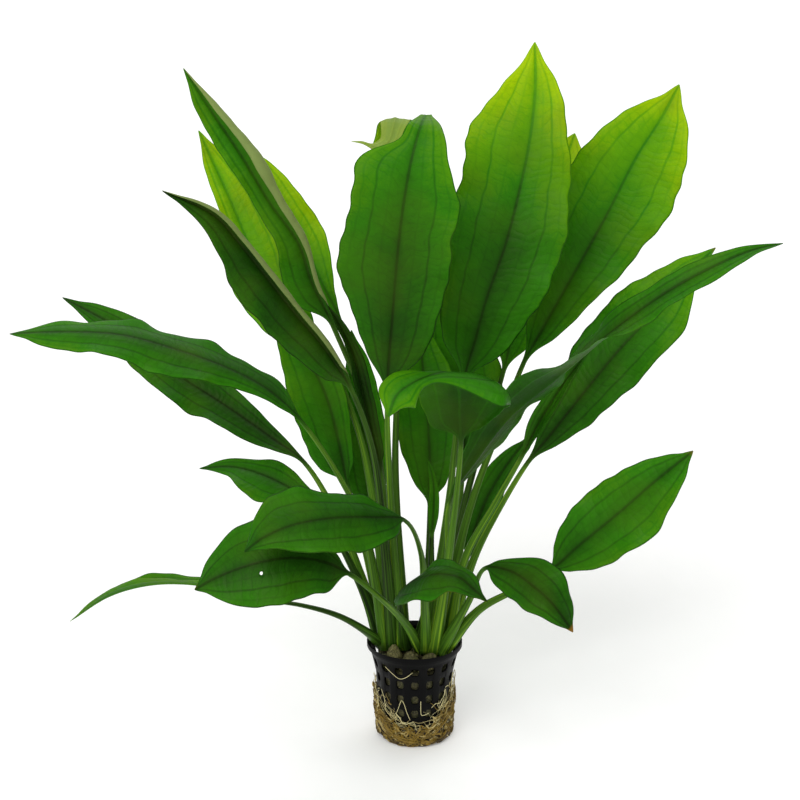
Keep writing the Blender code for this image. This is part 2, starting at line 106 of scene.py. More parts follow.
def running_length(points):
    """Length along a path up to each of its points."""
    return np.concatenate([[0.0], np.cumsum(np.linalg.norm(np.diff(points, axis=0), axis=1))])


def grid_faces(rows, columns):
    """Four-sided faces over a grid of points stored row by row and closed round."""
    i = np.arange(rows - 1)[:, None]
    j = np.arange(columns)[None]
    k = (j + 1) % columns
    return np.stack([i * columns + j, i * columns + k, (i + 1) * columns + k,
                     (i + 1) * columns + j], -1)


def end_fans(rows, columns):
    """Triangles that close a grid's first and last row on two points stored after it."""
    j, last, foot = np.arange(columns), (rows - 1) * columns, np.full(columns, rows * columns)
    k = (j + 1) % columns
    return np.concatenate([np.stack([foot, k, j], 1),
                           np.stack([foot + 1, last + j, last + k], 1)])


def put_mesh(name, points, faces, finish, marks=None):
    """Make a smooth object from points in millimetres and a list of face arrays, with
    named numbers on its points."""
    mesh = bpy.data.meshes.new(name)
    mesh.vertices.add(len(points))
    mesh.vertices.foreach_set("co", (np.asarray(points) * MM).astype(np.float32).ravel())
    faces = [f.reshape(-1, f.shape[-1]) for f in faces]
    sizes = np.concatenate([np.full(len(f), f.shape[1]) for f in faces])
    corners = np.concatenate([f.ravel() for f in faces])
    mesh.loops.add(len(corners))
    mesh.loops.foreach_set("vertex_index", corners.astype(np.int32))
    mesh.polygons.add(len(sizes))
    starts = np.concatenate([[0], np.cumsum(sizes)[:-1]]).astype(np.int32)
    mesh.polygons.foreach_set("loop_start", starts)
    mesh.polygons.foreach_set("use_smooth", np.ones(len(sizes), bool))
    for key, values in (marks or {}).items():
        mark = mesh.attributes.new(key, "FLOAT", "POINT")
        mark.data.foreach_set("value", np.asarray(values).astype(np.float32).ravel())
    mesh.update(calc_edges=True)
    mesh.validate()
    mesh.materials.append(finish)
    piece = bpy.data.objects.new(name, mesh)
    bpy.context.scene.collection.objects.link(piece)
    return piece


def settle(piece, slot, *nodes):
    """Put a piece on the plant's body and hide the CAD nodes it stands for; slot, the name of its
    finish, is not used.
    """
    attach(piece, BODY)
    if nodes:
        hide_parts(*nodes)


def add_node(tree, kind, inputs=None, out=0, stops=None, **settings):
    """Add one shader node with its settings; inputs holds numbers, or sockets to link
    from, and stops the (place, colour) marks of a colour ramp. Gives the named output."""
    made = tree.nodes.new("ShaderNode" + kind)
    for key, value in settings.items():
        setattr(made, key, value)
    if stops:
        bar = made.color_ramp.elements
        while len(bar) < len(stops):
            bar.new(1.0)
        for mark, (place, colour) in zip(bar, stops):
            mark.position, mark.color = place, colour
    for key, value in (inputs or {}).items():
        if isinstance(value, bpy.types.NodeSocket):
            tree.links.new(value, made.inputs[key])
        else:
            made.inputs[key].default_value = value
    return made.outputs[out] if made.outputs else None


def new_finish(name):
    """A named material, the call that adds a node to it, and the place on the object."""
    made = bpy.data.materials.new(name)
    made.use_nodes = True
    made.node_tree.nodes.clear()
    add = functools.partial(add_node, made.node_tree)
    return made, add, add("TexCoord", out="Object")


# ---- sizes and colours that a user would change ----
POT_LOW, POT_HIGH = cad_box_mm("net_pot")
POT_FLOOR_Z, POT_RIM_Z = float(POT_LOW[2]), float(POT_HIGH[2])
RIM_R = float(POT_HIGH[0])
MAT_R = float(cad_box_mm("root_mat")[1][0])
PLUG_TOP_Z = float(cad_box_mm("rock_wool_plug")[1][2])


def colour_prop(name, hex_colour, description):
    """A colour setting whose default is an sRGB hex value."""
    return FloatVectorProperty(name=name, description=description, subtype="COLOR", size=4,
                               min=0.0, max=1.0, default=linear(hex_colour))


def size_prop(name, millimetres, description):
    """A length setting, kept in metres."""
    return FloatProperty(name=name, description=description, default=millimetres * MM,
                         unit="LENGTH", subtype="DISTANCE")


def count_prop(name, count, low, high, description):
    """A whole number setting between two limits."""
    return IntProperty(name=name, description=description, default=count, min=low, max=high)


class SwordPlantLeafSettings(bpy.types.PropertyGroup):
    """Sizes and colours of the leaves."""
    vein_gap: size_prop("Cross vein gap", 4.8, "Space between the cross veins")
    vein_width: size_prop("Vein width", 0.8, "Width of a main side vein")
    blade_thickness: size_prop("Blade thickness", 0.34, "Thickness of a blade at mid width")
    ripple_height: size_prop("Margin ripple", 1.9, "Height of the ripples at a margin")
    # the five greens are read along each leaf's tone, so the darker ones also serve as painted
    # shade on the lower and inner leaves and the brighter ones as a painted backlit glow on the
    # upper leaves
    deep: colour_prop("Deep green", "#0e2c06", "Oldest and darkest blade colour")
    old: colour_prop("Old green", "#1c520b", "Full grown blade colour")
    mid: colour_prop("Mid green", "#2f7f0a", "Blade colour in its prime")
    fresh_and_lit: colour_prop("Fresh green", "#66a803", "Young blade colour")
    lime: colour_prop("Lime green", "#b2d400", "Newest, thinnest blade colour")
    olive: colour_prop("Olive cast", "#4c6210", "Patches that are turning older")
    underside: colour_prop("Underside", "#97a263", "Pale bloom of the underside")
    dried: colour_prop("Dried edge", "#8a6420", "Colour of withered tips")
    stalk_dark: colour_prop("Stalk shade", "#10230a", "Darker strands of a stalk")
    stalk_light: colour_prop("Stalk light", "#46701c", "Lighter strands of a stalk")
    stalk_bright: colour_prop("Stalk foot", "#9cc22c", "Palest strands at a stalk's foot")


class SwordPlantPotSettings(bpy.types.PropertyGroup):
    """Sizes and colours of the net pot."""
    wall: size_prop("Wall", 1.0, "Thickness of the moulded wall")
    rim_skirt: size_prop("Rim skirt", 3.8, "How far the rim hangs down")
    windows: count_prop("Windows", 16, 8, 32, "Openings round the wall")
    plastic: colour_prop("Plastic", "#040404", "Black moulded plastic")


class SwordPlantRootSettings(bpy.types.PropertyGroup):
    """Counts and colours of roots and growing medium."""
    mat_strands: count_prop("Mat strands", 420, 50, 900, "Roots wound round the pot's foot")
    hanging_strands: count_prop("Hanging strands", 90, 10, 300, "Roots out of the windows")
    root_dark: colour_prop("Root shade", "#221804", "Oldest roots")
    root_gold: colour_prop("Root gold", "#8a7022", "Most of the roots")
    root_pale: colour_prop("Root pale", "#ece2a8", "Newest roots")
    wool: colour_prop("Rock wool", "#4d4a2c", "Wet rock wool")


LEAVES = []


def leaf(name, looks, base, stalk, blade, left, right, face, fold=(0, 0), curl=(0, 0)):
    """Note one leaf, in millimetres. looks gives the blade's tone at its foot, middle
    and tip, which holds its age together with painted light: a painted backlit glow that
    brightens the upper leaves towards their tips and painted shade that darkens the lower
    and inner ones; then how dried its tip and edges are. base, stalk and blade are points along
    its middle line; left and right are the blade's half widths at even steps from its foot
    to its tip, and one list serves both if right is None; face is the way its upper side
    looks, once or from foot to tip; fold and curl raise its two halves, in degrees."""
    LEAVES.append(dict(name=name, looks=looks, line=[base] + stalk + blade,
                       blade_from=1 + len(stalk), halves=(left, right or left), face=face,
                       fold=fold, curl=curl))


# the first three looks of each leaf are its tone: its age together with painted light, high for the
# backlit upper leaves and low for the shaded lower and inner ones
leaf("leaf_far_left_front", (0.34, 0.3, 0.44, 0.2, 0),
     (-16.0, -3.6, 54), [(-28, -16, 130), (-41, -23, 163)],
     [(-60, -30, 196), (-75, -34, 214), (-95, -36, 227), (-123, -39, 239), (-154, -40, 248),
      (-186, -38, 249), (-213, -35, 247)],
     [5, 9, 15, 19, 16, 14, 10], [10, 13, 15, 15, 14, 12, 9],
     [(0, -4, 9), (1, -4, 9)], (-6, -6), (-10, -10))
leaf("leaf_far_left_back", (0.2, 0.24, 0.34, 0.1, 0),
     (-18.9, 6.5, 54), [(-30, 9, 91), (-43, 18, 123)],
     [(-63, 32, 153), (-83, 43, 165), (-110, 54, 181), (-139, 62, 198), (-171, 70, 222),
      (-205, 78, 239)],
     [7, 12, 16, 17, 15, 12, 7], [4, 8, 12, 15, 14, 11, 7], [(0, -6, 8)], (8, 8))
leaf("leaf_left_folded", (0.2, 0.14, 0.2, 0.2, 0.25),
     (-12.3, -5.2, 54), [(-17, -19, 125), (-23, -30, 181)],
     [(-34, -40, 218), (-48, -49, 244), (-62, -54, 263), (-75, -59, 282), (-88, -62, 300),
      (-101, -65, 316), (-126, -68, 329)],
     [10, 15, 18, 19, 17, 12, 6], [6, 8, 9, 9, 9, 8, 5],
     [(0, -10, 2), (0, -10, 3)], (30, 20), (0, 175))
leaf("leaf_left_high_front", (0.26, 0.42, 0.52, 0.1, 0), (-13.6, 1.2, 54), [(-22, 3, 177)],
     [(-45, 3, 242), (-56, 5, 265), (-63, 7, 286), (-78, 8, 308), (-93, 11, 333),
      (-109, 14, 357), (-123, 16, 379)],
     [12, 13, 9, 7, 8, 8, 6], [6, 9, 13, 17, 20, 14, 8], [(0, -10, 2)], (10, 10), (0, 170))
leaf("leaf_left_high_middle", (0.36, 0.7, 0.86, 0.2, 0),
     (-13.6, 6.0, 54), [(-24, 19, 137), (-33, 28, 177)],
     [(-53, 34, 221), (-70, 39, 236), (-85, 49, 256), (-95, 59, 277), (-105, 68, 299),
      (-114, 76, 317), (-123, 81, 336)],
     [12, 16, 18, 14, 9, 7, 5], [10, 14, 18, 20, 19, 15, 8], [(1, -10, 3)], (8, 8))
leaf("leaf_left_high_back", (0.38, 0.76, 0.9, 0.1, 0), (-10.2, 12.4, 54), [(-22, 27, 150)],
     [(-43, 49, 234), (-52, 54, 252), (-63, 65, 273), (-74, 73, 292), (-85, 81, 312),
      (-94, 86, 325)],
     [6, 11, 14, 15, 14, 10, 5], [3, 8, 12, 13, 12, 9, 5], [(2, -10, 3)], (8, 8))
leaf("leaf_left_middle", (0.3, 0.38, 0.42, 0.1, 0), (-17.1, 9.5, 54), [(-27, 14, 102)],
     [(-38, 18, 144), (-43, 21, 170), (-49, 24, 193), (-55, 26, 207), (-62, 26, 220),
      (-70, 27, 236), (-77, 28, 249)],
     [13, 18, 20, 20, 17, 13, 8], [5, 7, 9, 11, 12, 10, 6], [(1, -10, 2)], (8, 8))
leaf("leaf_left_dark_young", (0.05, 0.08, 0.12, 0, 0), (-7.6, 1.2, 54), [(-14, -5, 118)],
     [(-19, -9, 162), (-24, -13, 186), (-29, -15, 210), (-34, -15, 231), (-41, -13, 246),
      (-47, -10, 256)],
     [3, 4, 5, 5, 5, 4, 3], None, [(5, -10, 2)], (40, 40))
leaf("leaf_middle_front", (0.18, 0.28, 0.7, 0, 0), (-8.2, -5.1, 54), [(-13, -16, 136)],
     [(-15, -32, 213), (-12, -38, 260), (-9, -40, 296), (-6, -39, 320), (-2, -36, 341),
      (2, -28, 354), (5, -12, 358), (7, 6, 354)],
     [5, 10, 15, 20, 25, 29, 29, 28, 27, 26, 25, 9, 6, 3, 2],
     [8, 15, 20, 23, 25, 26, 27, 27, 29, 26, 21, 17, 11, 4, 2],
     [(0, -10, 1), (0, -10, 1), (0, -10, 2), (0, -6, 8), (0, 1, 10)], (6, 6))
leaf("leaf_middle_hooked", (0.35, 0.56, 0.86, 0, 0), (-6.4, 11.2, 54), [(-11, 35, 148)],
     [(-9, 59, 224), (-10, 70, 263), (-11, 77, 300), (-11, 79, 324), (-11, 76, 339),
      (-11, 69, 345), (-12, 61, 342), (-15, 55, 334), (-22, 49, 332), (-29, 45, 335),
      (-35, 42, 336)],
     [12, 18, 19, 17, 12, 8, 4], None,
     [(0, -10, 2), (0, -10, 2), (0, -10, 2), (0, -10, 2), (0, -10, 2), (0, -10, 1),
      (0, 2, -9), (0, 6, -7), (0, 4, -9)], (8, 8))
leaf("leaf_centre_back_left", (0.24, 0.36, 0.42, 0.1, 0), (-14.1, 11.7, 54), [(-18, 16, 84)],
     [(-23, 30, 113), (-27, 35, 141), (-30, 40, 176), (-32, 46, 204), (-36, 49, 227)],
     [6, 10, 12, 12, 11, 9, 5], None, [(0, -10, 2)], (10, 10))
leaf("leaf_left_drooping", (0.42, 0.4, 0.36, 0.1, 0),
     (-18.5, -0.8, 54), [(-27, -11, 67), (-43, -16, 79), (-64, -22, 88)],
     [(-85, -24, 92), (-105, -27, 99), (-124, -28, 103), (-146, -27, 102), (-169, -24, 94),
      (-192, -22, 78)],
     [3, 5, 6, 7, 7, 6, 3], None, [(0, 2, 10)], (35, 35))
leaf("leaf_left_low_back", (0.3, 0.4, 0.42, 0.1, 0),
     (-19.4, 2.9, 54), [(-27, 3, 80), (-41, 13, 108)],
     [(-55, 27, 129), (-72, 35, 137), (-88, 43, 142), (-106, 51, 144), (-126, 57, 141)],
     [8, 14, 18, 17, 13, 7, 3], [4, 8, 10, 9, 7, 5, 3], [(0, -6, 8)], (10, 10))
leaf("leaf_front_low", (0.22, 0.26, 0.24, 0.3, 0.5), (-4.4, -3.2, 54), [(-7, -19, 76)],
     [(-8, -38, 102), (0, -56, 117), (13, -70, 126), (23, -78, 127), (30, -84, 123),
      (37, -86, 117)],
     [8, 12, 14, 14, 12, 9, 5], [10, 16, 19, 19, 17, 12, 6], [(-2, -5, 9), (2, -4, 9)], (-8, -8))
leaf("leaf_top_middle", (0.32, 0.33, 1.02, 0.1, 0), (8.2, -1.2, 54), [(19, -3, 143)],
     [(26, -5, 211), (32, -8, 235), (38, -8, 259), (48, -4, 288), (55, 3, 314),
      (61, 11, 342), (64, 22, 367), (64, 32, 391)],
     [17, 23, 29, 31, 32, 31, 17], [15, 25, 29, 29, 25, 19, 12], [(-1, -10, 1)], (6, 6))
leaf("leaf_top_right", (0.36, 0.38, 0.94, 0.2, 0), (13.3, 0.2, 54), [(31, 14, 131), (48, 20, 179)],
     [(61, 24, 215), (71, 27, 233), (88, 30, 264), (104, 34, 293), (122, 38, 329),
      (135, 40, 350), (144, 43, 367)],
     [9, 17, 24, 30, 29, 25, 15], [8, 15, 21, 26, 30, 28, 18], [(-2, -10, 2)], (6, 6))
leaf("leaf_top_right_back", (0.36, 0.6, 0.95, 0.1, 0.1), (14.2, 5.8, 54), [(30, 41, 128)],
     [(52, 65, 198), (57, 70, 219), (65, 81, 249), (76, 92, 282), (86, 102, 308),
      (94, 110, 330)],
     [10, 17, 21, 23, 24, 23, 17], None, [(-2, -10, 2)], (8, 8))
leaf("leaf_far_right", (0.04, 0.22, 0.48, 0.2, 0), (12.4, -5.2, 54), [(18, -12, 105)],
     [(19, -20, 149), (34, -25, 176), (50, -31, 200), (76, -40, 226), (105, -46, 254),
      (130, -50, 274), (153, -50, 287), (171, -47, 294), (188, -43, 297)],
     [8, 14, 17, 15, 9, 7, 5], [8, 14, 17, 16, 13, 11, 7],
     [(-5, 9, 2), (-5, 9, 3), (-5, 8, 4), (-5, 6, 5), (-4, 1, 7), (-1, -4, 8), (0, -6, 8),
      (0, -6, 8), (0, -6, 8)], (15, 15))
leaf("leaf_right_middle", (0.2, 0.3, 0.66, 0.5, 0), (18.4, -0.8, 54), [(34, 7, 105), (48, 11, 133)],
     [(64, 16, 159), (76, 18, 174), (95, 20, 199), (114, 22, 223), (133, 24, 244),
      (151, 27, 265), (166, 30, 279)],
     [6, 12, 18, 22, 22, 18, 10], [7, 14, 18, 20, 21, 17, 7], [(-5, -9, 3)], (6, 6))
leaf("leaf_right_narrow", (0.3, 0.32, 0.34, 0, 0), (18.4, -4.0, 54), [(28, -4, 108), (44, -5, 141)],
     [(59, -8, 171), (68, -12, 192), (77, -15, 209), (90, -19, 230)],
     [2, 4, 5, 5, 5, 3, 2], None, [(-5, -9, 3), (-4, -9, 3)], (35, 35))
leaf("leaf_right_low", (0.28, 0.36, 0.4, 0.5, 0.1),
     (16.9, -7.2, 54), [(36, -19, 84), (54, -26, 98)],
     [(73, -32, 112), (89, -38, 130), (107, -42, 148), (127, -46, 169), (146, -49, 187)],
     [9, 15, 18, 18, 16, 13, 7], [8, 16, 20, 21, 21, 17, 10], [(-4, -8, 4)], (6, 6))
leaf("leaf_right_drooping", (0.24, 0.22, 0.24, 0.9, 0.2), (14.4, -9.8, 54), [(30, -27, 93)],
     [(38, -49, 121), (51, -62, 124), (62, -73, 120), (71, -81, 114), (82, -84, 99)],
     [4, 9, 15, 16, 15, 13, 9], [7, 10, 12, 13, 13, 9, 5], [(-2, -7, 7), (4, -7, 6)], (-6, -6))
leaf("leaf_hooded", (0.06, 0.3, 0.6, 0, 0), (10.6, -10.4, 54), [(18, -22, 112)],
     [(24, -42, 190), (23, -47, 206), (22, -56, 223), (18, -67, 235), (9, -80, 238),
      (-2, -89, 236), (-10, -94, 231), (-14, -98, 221)],
     [14, 24, 34, 37, 10, 5, 12], [14, 19, 20, 18, 14, 13, 14],
     [(0, 10, 1), (0, 8, 5), (0, 2, 10), (-1, -4, 9), (-2, -9, 4)], (2, -4), (-95, -30))
leaf("leaf_left_low_front", (0.24, 0.28, 0.32, 0.1, 0),
     (6.6, -8.4, 54), [(5, -31, 98), (3, -43, 127)],
     [(-6, -62, 153), (-22, -76, 160), (-43, -88, 164), (-63, -96, 163), (-77, -100, 158),
      (-87, -100, 150)],
     [10, 16, 20, 20, 18, 14, 7], [7, 14, 17, 19, 22, 24, 14], [(1, -6, 8), (-2, -6, 8)], (-6, -6))
leaf("leaf_left_low_holed", (0.2, 0.26, 0.32, 0.5, 0.2),
     (2.6, -5.8, 55), [(-6, -32, 82), (-20, -57, 108)],
     [(-35, -70, 126), (-47, -76, 135), (-63, -80, 139), (-78, -82, 138), (-94, -82, 133),
      (-105, -82, 128), (-115, -82, 122)],
     [14, 17, 22, 25, 23, 19, 12], [6, 15, 20, 24, 25, 21, 11], [(1, -7, 7), (-2, -7, 7)], (-6, -6))
leaf("leaf_right_small", (0.26, 0.32, 0.36, 0, 0), (17.4, 2.6, 54), [(23, 11, 75)],
     [(30, 20, 98), (35, 25, 116), (42, 30, 133), (52, 35, 149), (65, 39, 166)],
     [4, 6, 7, 8, 8, 7, 4], [4, 7, 8, 8, 7, 6, 4], [(-4, -9, 2)], (10, 10))
leaf("leaf_centre_young", (0.4, 0.44, 0.48, 0, 0), (2.6, 1.6, 54), [(9, 14, 81)],
     [(10, 24, 112), (11, 27, 126), (11, 30, 140), (8, 30, 155)],
     [1, 2, 2.5, 2.5, 2, 1.5, 1], None, [(0, -10, 2)], (20, 20))
leaf("leaf_centre_back", (0.26, 0.38, 0.48, 0, 0), (6.0, 6.2, 54), [(8, 24, 90)],
     [(9, 40, 124), (9, 49, 149), (7, 59, 182), (4, 70, 209), (2, 78, 231)],
     [9, 14, 17, 18, 17, 13, 7], None, [(0, -10, 2)], (10, 10))
leaf("leaf_centre_back_right", (0.26, 0.38, 0.48, 0, 0), (10.3, 6.4, 54), [(21, 27, 89)],
     [(28, 49, 137), (29, 59, 164), (28, 70, 191), (22, 81, 222), (15, 92, 252)],
     [10, 17, 21, 23, 21, 16, 8], None, [(0, -10, 2)], (10, 10))

HOLED_LEAF = "leaf_left_low_holed"
# margins rolled further than the CAD's, in degrees; 0 is a leaf's left half, 1 its right
ROLLED = {("leaf_left_high_front", 1): 205}
# bloom on the undersides that have more or less than most
PALE_BELOW = {"leaf_left_folded": 0.8, "leaf_left_high_front": 0.95,
              "leaf_middle_hooked": 0.6, "leaf_far_right": 0.0, "leaf_hooded": 0.0}
MOST_PALE_BELOW = 0.08


# ---- finishes ----
SMOOTH = {"interpolation_type": "SMOOTHSTEP"}
COLOUR_MIX = {"out": 2, "data_type": "RGBA"}      # inputs: 0 share, 6 first, 7 second colour
VEIN_SHARES = (0.57, 0.30, 0.82)     # side veins, as shares of the half width
VEIN_DEPTHS = (0.55, 0.18, 0.22)     # and how dark each shows


def living_leaf(settings):
    """Waxy living leaf: a sunken net of veins, a thin skin that light comes through, a
    paler underside, and a satin shine broken up by the veins."""
    made, add, place = new_finish("living_leaf")
    mark = {key: add("Attribute", out="Fac", attribute_name=key)
            for key in ("across", "along", "half_mm", "length_mm", "below", "under", "tone",
                        "dry")}
    wander, patch, speck = (
        add("TexNoise", {"Vector": place, "Scale": 1 / (size_mm * MM), "Detail": detail})
        for size_mm, detail in ((14, 2.0), (30, 1.0), (5, 3.0)))
    out_share = add("Math", {0: mark["across"]}, operation="ABSOLUTE")
    out_mm = add("Math", {0: out_share, 1: mark["half_mm"]}, operation="MULTIPLY")
    in_mm = add("Math", {0: mark["half_mm"], 1: out_mm}, operation="SUBTRACT")
    # rungs: distance along the blade less part of the distance out, in uneven steps
    rung = mark["length_mm"]
    for value, weight in ((out_mm, -0.35), (wander, 16.0)):
        rung = add("Math", {0: value, 1: weight, 2: rung}, operation="MULTIPLY_ADD")
    rung = add("Math", {0: rung, 1: settings.vein_gap / MM / 2}, operation="PINGPONG")
    net = add("TexVoronoi", {"Vector": place, "Scale": 1 / (2.4 * MM)}, out="Distance",
              feature="DISTANCE_TO_EDGE")
    # each kind of vein is full up to its first distance and gone at its second
    core, shade, cross_vein, net, margin = (
        add("MapRange", {0: distance, 1: full, 2: gone, 3: strength, 4: 0.0}, **SMOOTH)
        for distance, full, gone, strength in (
            (out_mm, 0.3, 1.1, 0.55), (out_mm, 0.4, 3.4, 0.24), (rung, 0.05, 0.6, 0.15),
            (net, 0.02, 0.12, 0.09), (in_mm, 0.2, 0.8, 1.0)))
    veins = add("Math", {0: core, 1: shade}, operation="ADD")
    small = add("Math", {0: cross_vein, 1: net}, operation="ADD")
    width = settings.vein_width / MM
    kinds = [small, margin]
    for share, depth in zip(VEIN_SHARES, VEIN_DEPTHS):
        gap = add("Math", {0: out_share, 1: share}, operation="SUBTRACT")
        gap = add("Math", {0: gap}, operation="ABSOLUTE")
        gap = add("Math", {0: gap, 1: mark["half_mm"]}, operation="MULTIPLY")
        kinds.append(add("MapRange", {0: gap, 1: 0.1 * width, 2: 1.3 * width, 3: depth,
                                      4: 0.0}, **SMOOTH))
    for kind in kinds:
        veins = add("Math", {0: veins, 1: kind}, operation="MAXIMUM")
    on_blade = add("MapRange", {0: mark["along"], 1: -0.04, 2: 0.05}, **SMOOTH)
    veins = add("Math", {0: veins, 1: on_blade}, operation="MULTIPLY")

    # freshness and painted light: the tone mark, each leaf's age together with a painted backlit
    # glow and painted shade, brighter outwards, darker along veins, with two sizes of mottling
    vein_shade = add("MapRange", {0: mark["below"], 3: -0.26, 4: 0.14})
    fresh_and_lit = add("Math", {0: mark["tone"], 1: 0.22}, operation="SUBTRACT")
    for value, weight in ((out_share, 0.20), (veins, vein_shade), (patch, 0.22),
                          (speck, 0.14)):
        fresh_and_lit = add("Math", {0: value, 1: weight, 2: fresh_and_lit}, operation="MULTIPLY_ADD")
    skin = add("ValToRGB", {0: fresh_and_lit},
               stops=[(0.0, settings.deep), (0.22, settings.old), (0.45, settings.mid),
                      (0.72, settings.fresh_and_lit), (1.0, settings.lime)])
    cast = add("MapRange", {0: patch, 1: 0.42, 2: 0.72, 3: 0.04, 4: 0.28}, **SMOOTH)
    bloom = add("Math", {0: mark["under"], 1: 0.85}, operation="MULTIPLY")
    # withered tips and edges have a ragged border
    ragged = add("Math", {0: speck, 1: 0.5, 2: mark["dry"]}, operation="MULTIPLY_ADD")
    withered = add("MapRange", {0: ragged, 1: 0.62, 2: 0.95}, **SMOOTH)
    for share, colour in ((cast, settings.olive), (bloom, settings.underside),
                          (withered, settings.dried)):
        skin = add("Mix", {0: share, 6: skin, 7: colour}, **COLOUR_MIX)

    # stalks: long strands, paler at the foot and darker higher up
    strand = add("CombineXYZ", {0: mark["across"], 1: mark["along"], 2: mark["tone"]})
    strand = add("Mapping", {"Vector": strand, "Scale": (3.0, 1.2, 9.0)})
    strand = add("TexNoise", {"Vector": strand, "Scale": 1.6, "Detail": 3.0})
    paler_at_foot = add("MapRange", {0: mark["along"], 1: -0.96, 2: -0.62, 3: 0.05, 4: -0.06})
    for value in (mark["dry"], paler_at_foot):
        strand = add("Math", {0: strand, 1: value}, operation="ADD")
    stalk = add("ValToRGB", {0: strand},
                stops=[(0.22, settings.stalk_dark), (0.62, settings.stalk_light),
                       (0.98, settings.stalk_bright)])
    colour = add("Mix", {0: on_blade, 6: stalk, 7: skin}, **COLOUR_MIX)

    # veins sink in the upper side and stand out below, and the skin swells between rungs
    way = add("MapRange", {0: mark["below"], 3: -0.6, 4: 1.0})
    height = add("Math", {0: veins, 1: way}, operation="MULTIPLY")
    quilt = add("Math", {0: rung, 1: on_blade}, operation="MULTIPLY")
    for value, weight in ((speck, 0.35), (quilt, 0.20)):
        height = add("Math", {0: value, 1: weight, 2: height}, operation="MULTIPLY_ADD")
    bump = add("Bump", {"Height": height, "Distance": 0.35 * MM, "Strength": 0.7})
    rough = add("MapRange", {0: speck, 1: 0.3, 2: 0.7, 3: 0.36, 4: 0.52})
    body = add("BsdfPrincipled",
               {"Base Color": colour, "Roughness": rough, "Specular IOR Level": 0.16,
                "Specular Tint": linear("#e2f0b4"), "Normal": bump})
    # the light through the skin turns limer with the tone, which holds painted backlight as well as
    # youth
    young_and_lit = add("Math", {0: mark["tone"], 1: 0.6}, operation="MULTIPLY")
    glow = add("Mix", {0: young_and_lit, 6: colour, 7: settings.lime}, **COLOUR_MIX)
    through = add("BsdfTranslucent", {"Color": glow, "Normal": bump})
    share = add("Math", {0: on_blade, 1: 0.30}, operation="MULTIPLY")
    both = add("MixShader", {0: share, 1: body, 2: through})
    add("OutputMaterial", {"Surface": both})
    return made


def moulded_plastic(settings):
    """Injection moulded polypropylene: black, softly shiny, faintly orange-peeled, with a
    thin grey bloom of dried water salts."""
    made, add, place = new_finish("moulded_polypropylene")
    grain = add("TexNoise", {"Vector": place, "Scale": 1 / (0.9 * MM), "Detail": 3.0})
    bloom = add("TexNoise", {"Vector": place, "Scale": 1 / (7 * MM), "Detail": 5.0,
                             "Roughness": 0.7})
    bloom = add("MapRange", {0: bloom, 1: 0.52, 2: 0.8, 3: 0.0, 4: 0.18})
    colour = add("Mix", {0: bloom, 6: settings.plastic, 7: linear("#1b1913")}, **COLOUR_MIX)
    rough = add("MapRange", {0: grain, 3: 0.34, 4: 0.52})
    bump = add("Bump", {"Height": grain, "Distance": 0.05 * MM, "Strength": 0.6})
    skin = add("BsdfPrincipled", {"Base Color": colour, "Roughness": rough, "Normal": bump,
                                  "Specular IOR Level": 0.08})
    add("OutputMaterial", {"Surface": skin})
    return made


def root_skin(name, settings, lift):
    """Living roots: tan, golden or cream by age, damp and faintly ringed."""
    made, add, place = new_finish(name)
    age = add("Attribute", out="Fac", attribute_name="age")
    blotch = add("TexNoise", {"Vector": place, "Scale": 1 / (3 * MM), "Detail": 4.0})
    shade = add("Math", {0: blotch, 1: 0.5, 2: age}, operation="MULTIPLY_ADD")
    shade = add("Math", {0: shade, 1: lift}, operation="ADD")
    colour = add("ValToRGB", {0: shade},
                 stops=[(0.1, settings.root_dark), (0.55, settings.root_gold),
                        (0.95, settings.root_pale)])
    bump = add("Bump", {"Height": blotch, "Distance": 0.2 * MM, "Strength": 0.5})
    skin = add("BsdfPrincipled", {"Base Color": colour, "Roughness": 0.55, "Normal": bump,
                                  "Specular IOR Level": 0.35})
    add("OutputMaterial", {"Surface": skin})
    return made


def wet_wool(name, settings, moss, lift=1.0):
    """Mineral wool soaked in water: matted fibres, khaki to near black, green with algae
    in places, glinting where water stands."""
    made, add, place = new_finish(name)
    fibre = add("TexNoise", {"Vector": place, "Scale": 1 / (1.6 * MM), "Detail": 6.0,
                             "Roughness": 0.7, "Distortion": 1.6})
    clump = add("TexNoise", {"Vector": place, "Scale": 1 / (6 * MM), "Detail": 3.0})
    dark, plain, pale = (tuple(min(c * lift * share, 1) for c in settings.wool[:3]) + (1.0,)
                         for share in (0.12, 0.9, 2.6))
    colour = add("ValToRGB", {0: fibre}, stops=[(0.34, dark), (0.52, plain), (0.72, pale)])
    green = add("MapRange", {0: clump, 1: 0.5, 2: 0.7, 3: 0.0, 4: moss})
    colour = add("Mix", {0: green, 6: colour, 7: linear("#2c3a0e")}, **COLOUR_MIX)
    rough = add("MapRange", {0: clump, 1: 0.35, 2: 0.65, 3: 0.3, 4: 0.85})
    bump = add("Bump", {"Height": fibre, "Distance": 0.9 * MM, "Strength": 0.9})
    skin = add("BsdfPrincipled", {"Base Color": colour, "Roughness": rough, "Normal": bump,
                                  "Specular IOR Level": 0.45})
    add("OutputMaterial", {"Surface": skin})
    return made


def crown_tissue():
    """Crown of a rosette plant: corky brown with pale green scars of old leaves."""
    made, add, place = new_finish("crown_tissue")
    bands = add("Mapping", {"Vector": place, "Scale": (1, 1, 3.5)})
    scar = add("TexNoise", {"Vector": bands, "Scale": 1 / (5 * MM), "Detail": 5.0,
                            "Distortion": 0.8})
    colour = add("ValToRGB", {0: scar},
                 stops=[(0.3, linear("#140f05")), (0.5, linear("#3a3313")),
                        (0.7, linear("#6f7430"))])
    bump = add("Bump", {"Height": scar, "Distance": 0.8 * MM, "Strength": 0.9})
    skin = add("BsdfPrincipled", {"Base Color": colour, "Roughness": 0.55, "Normal": bump})
    add("OutputMaterial", {"Surface": skin})
    return made


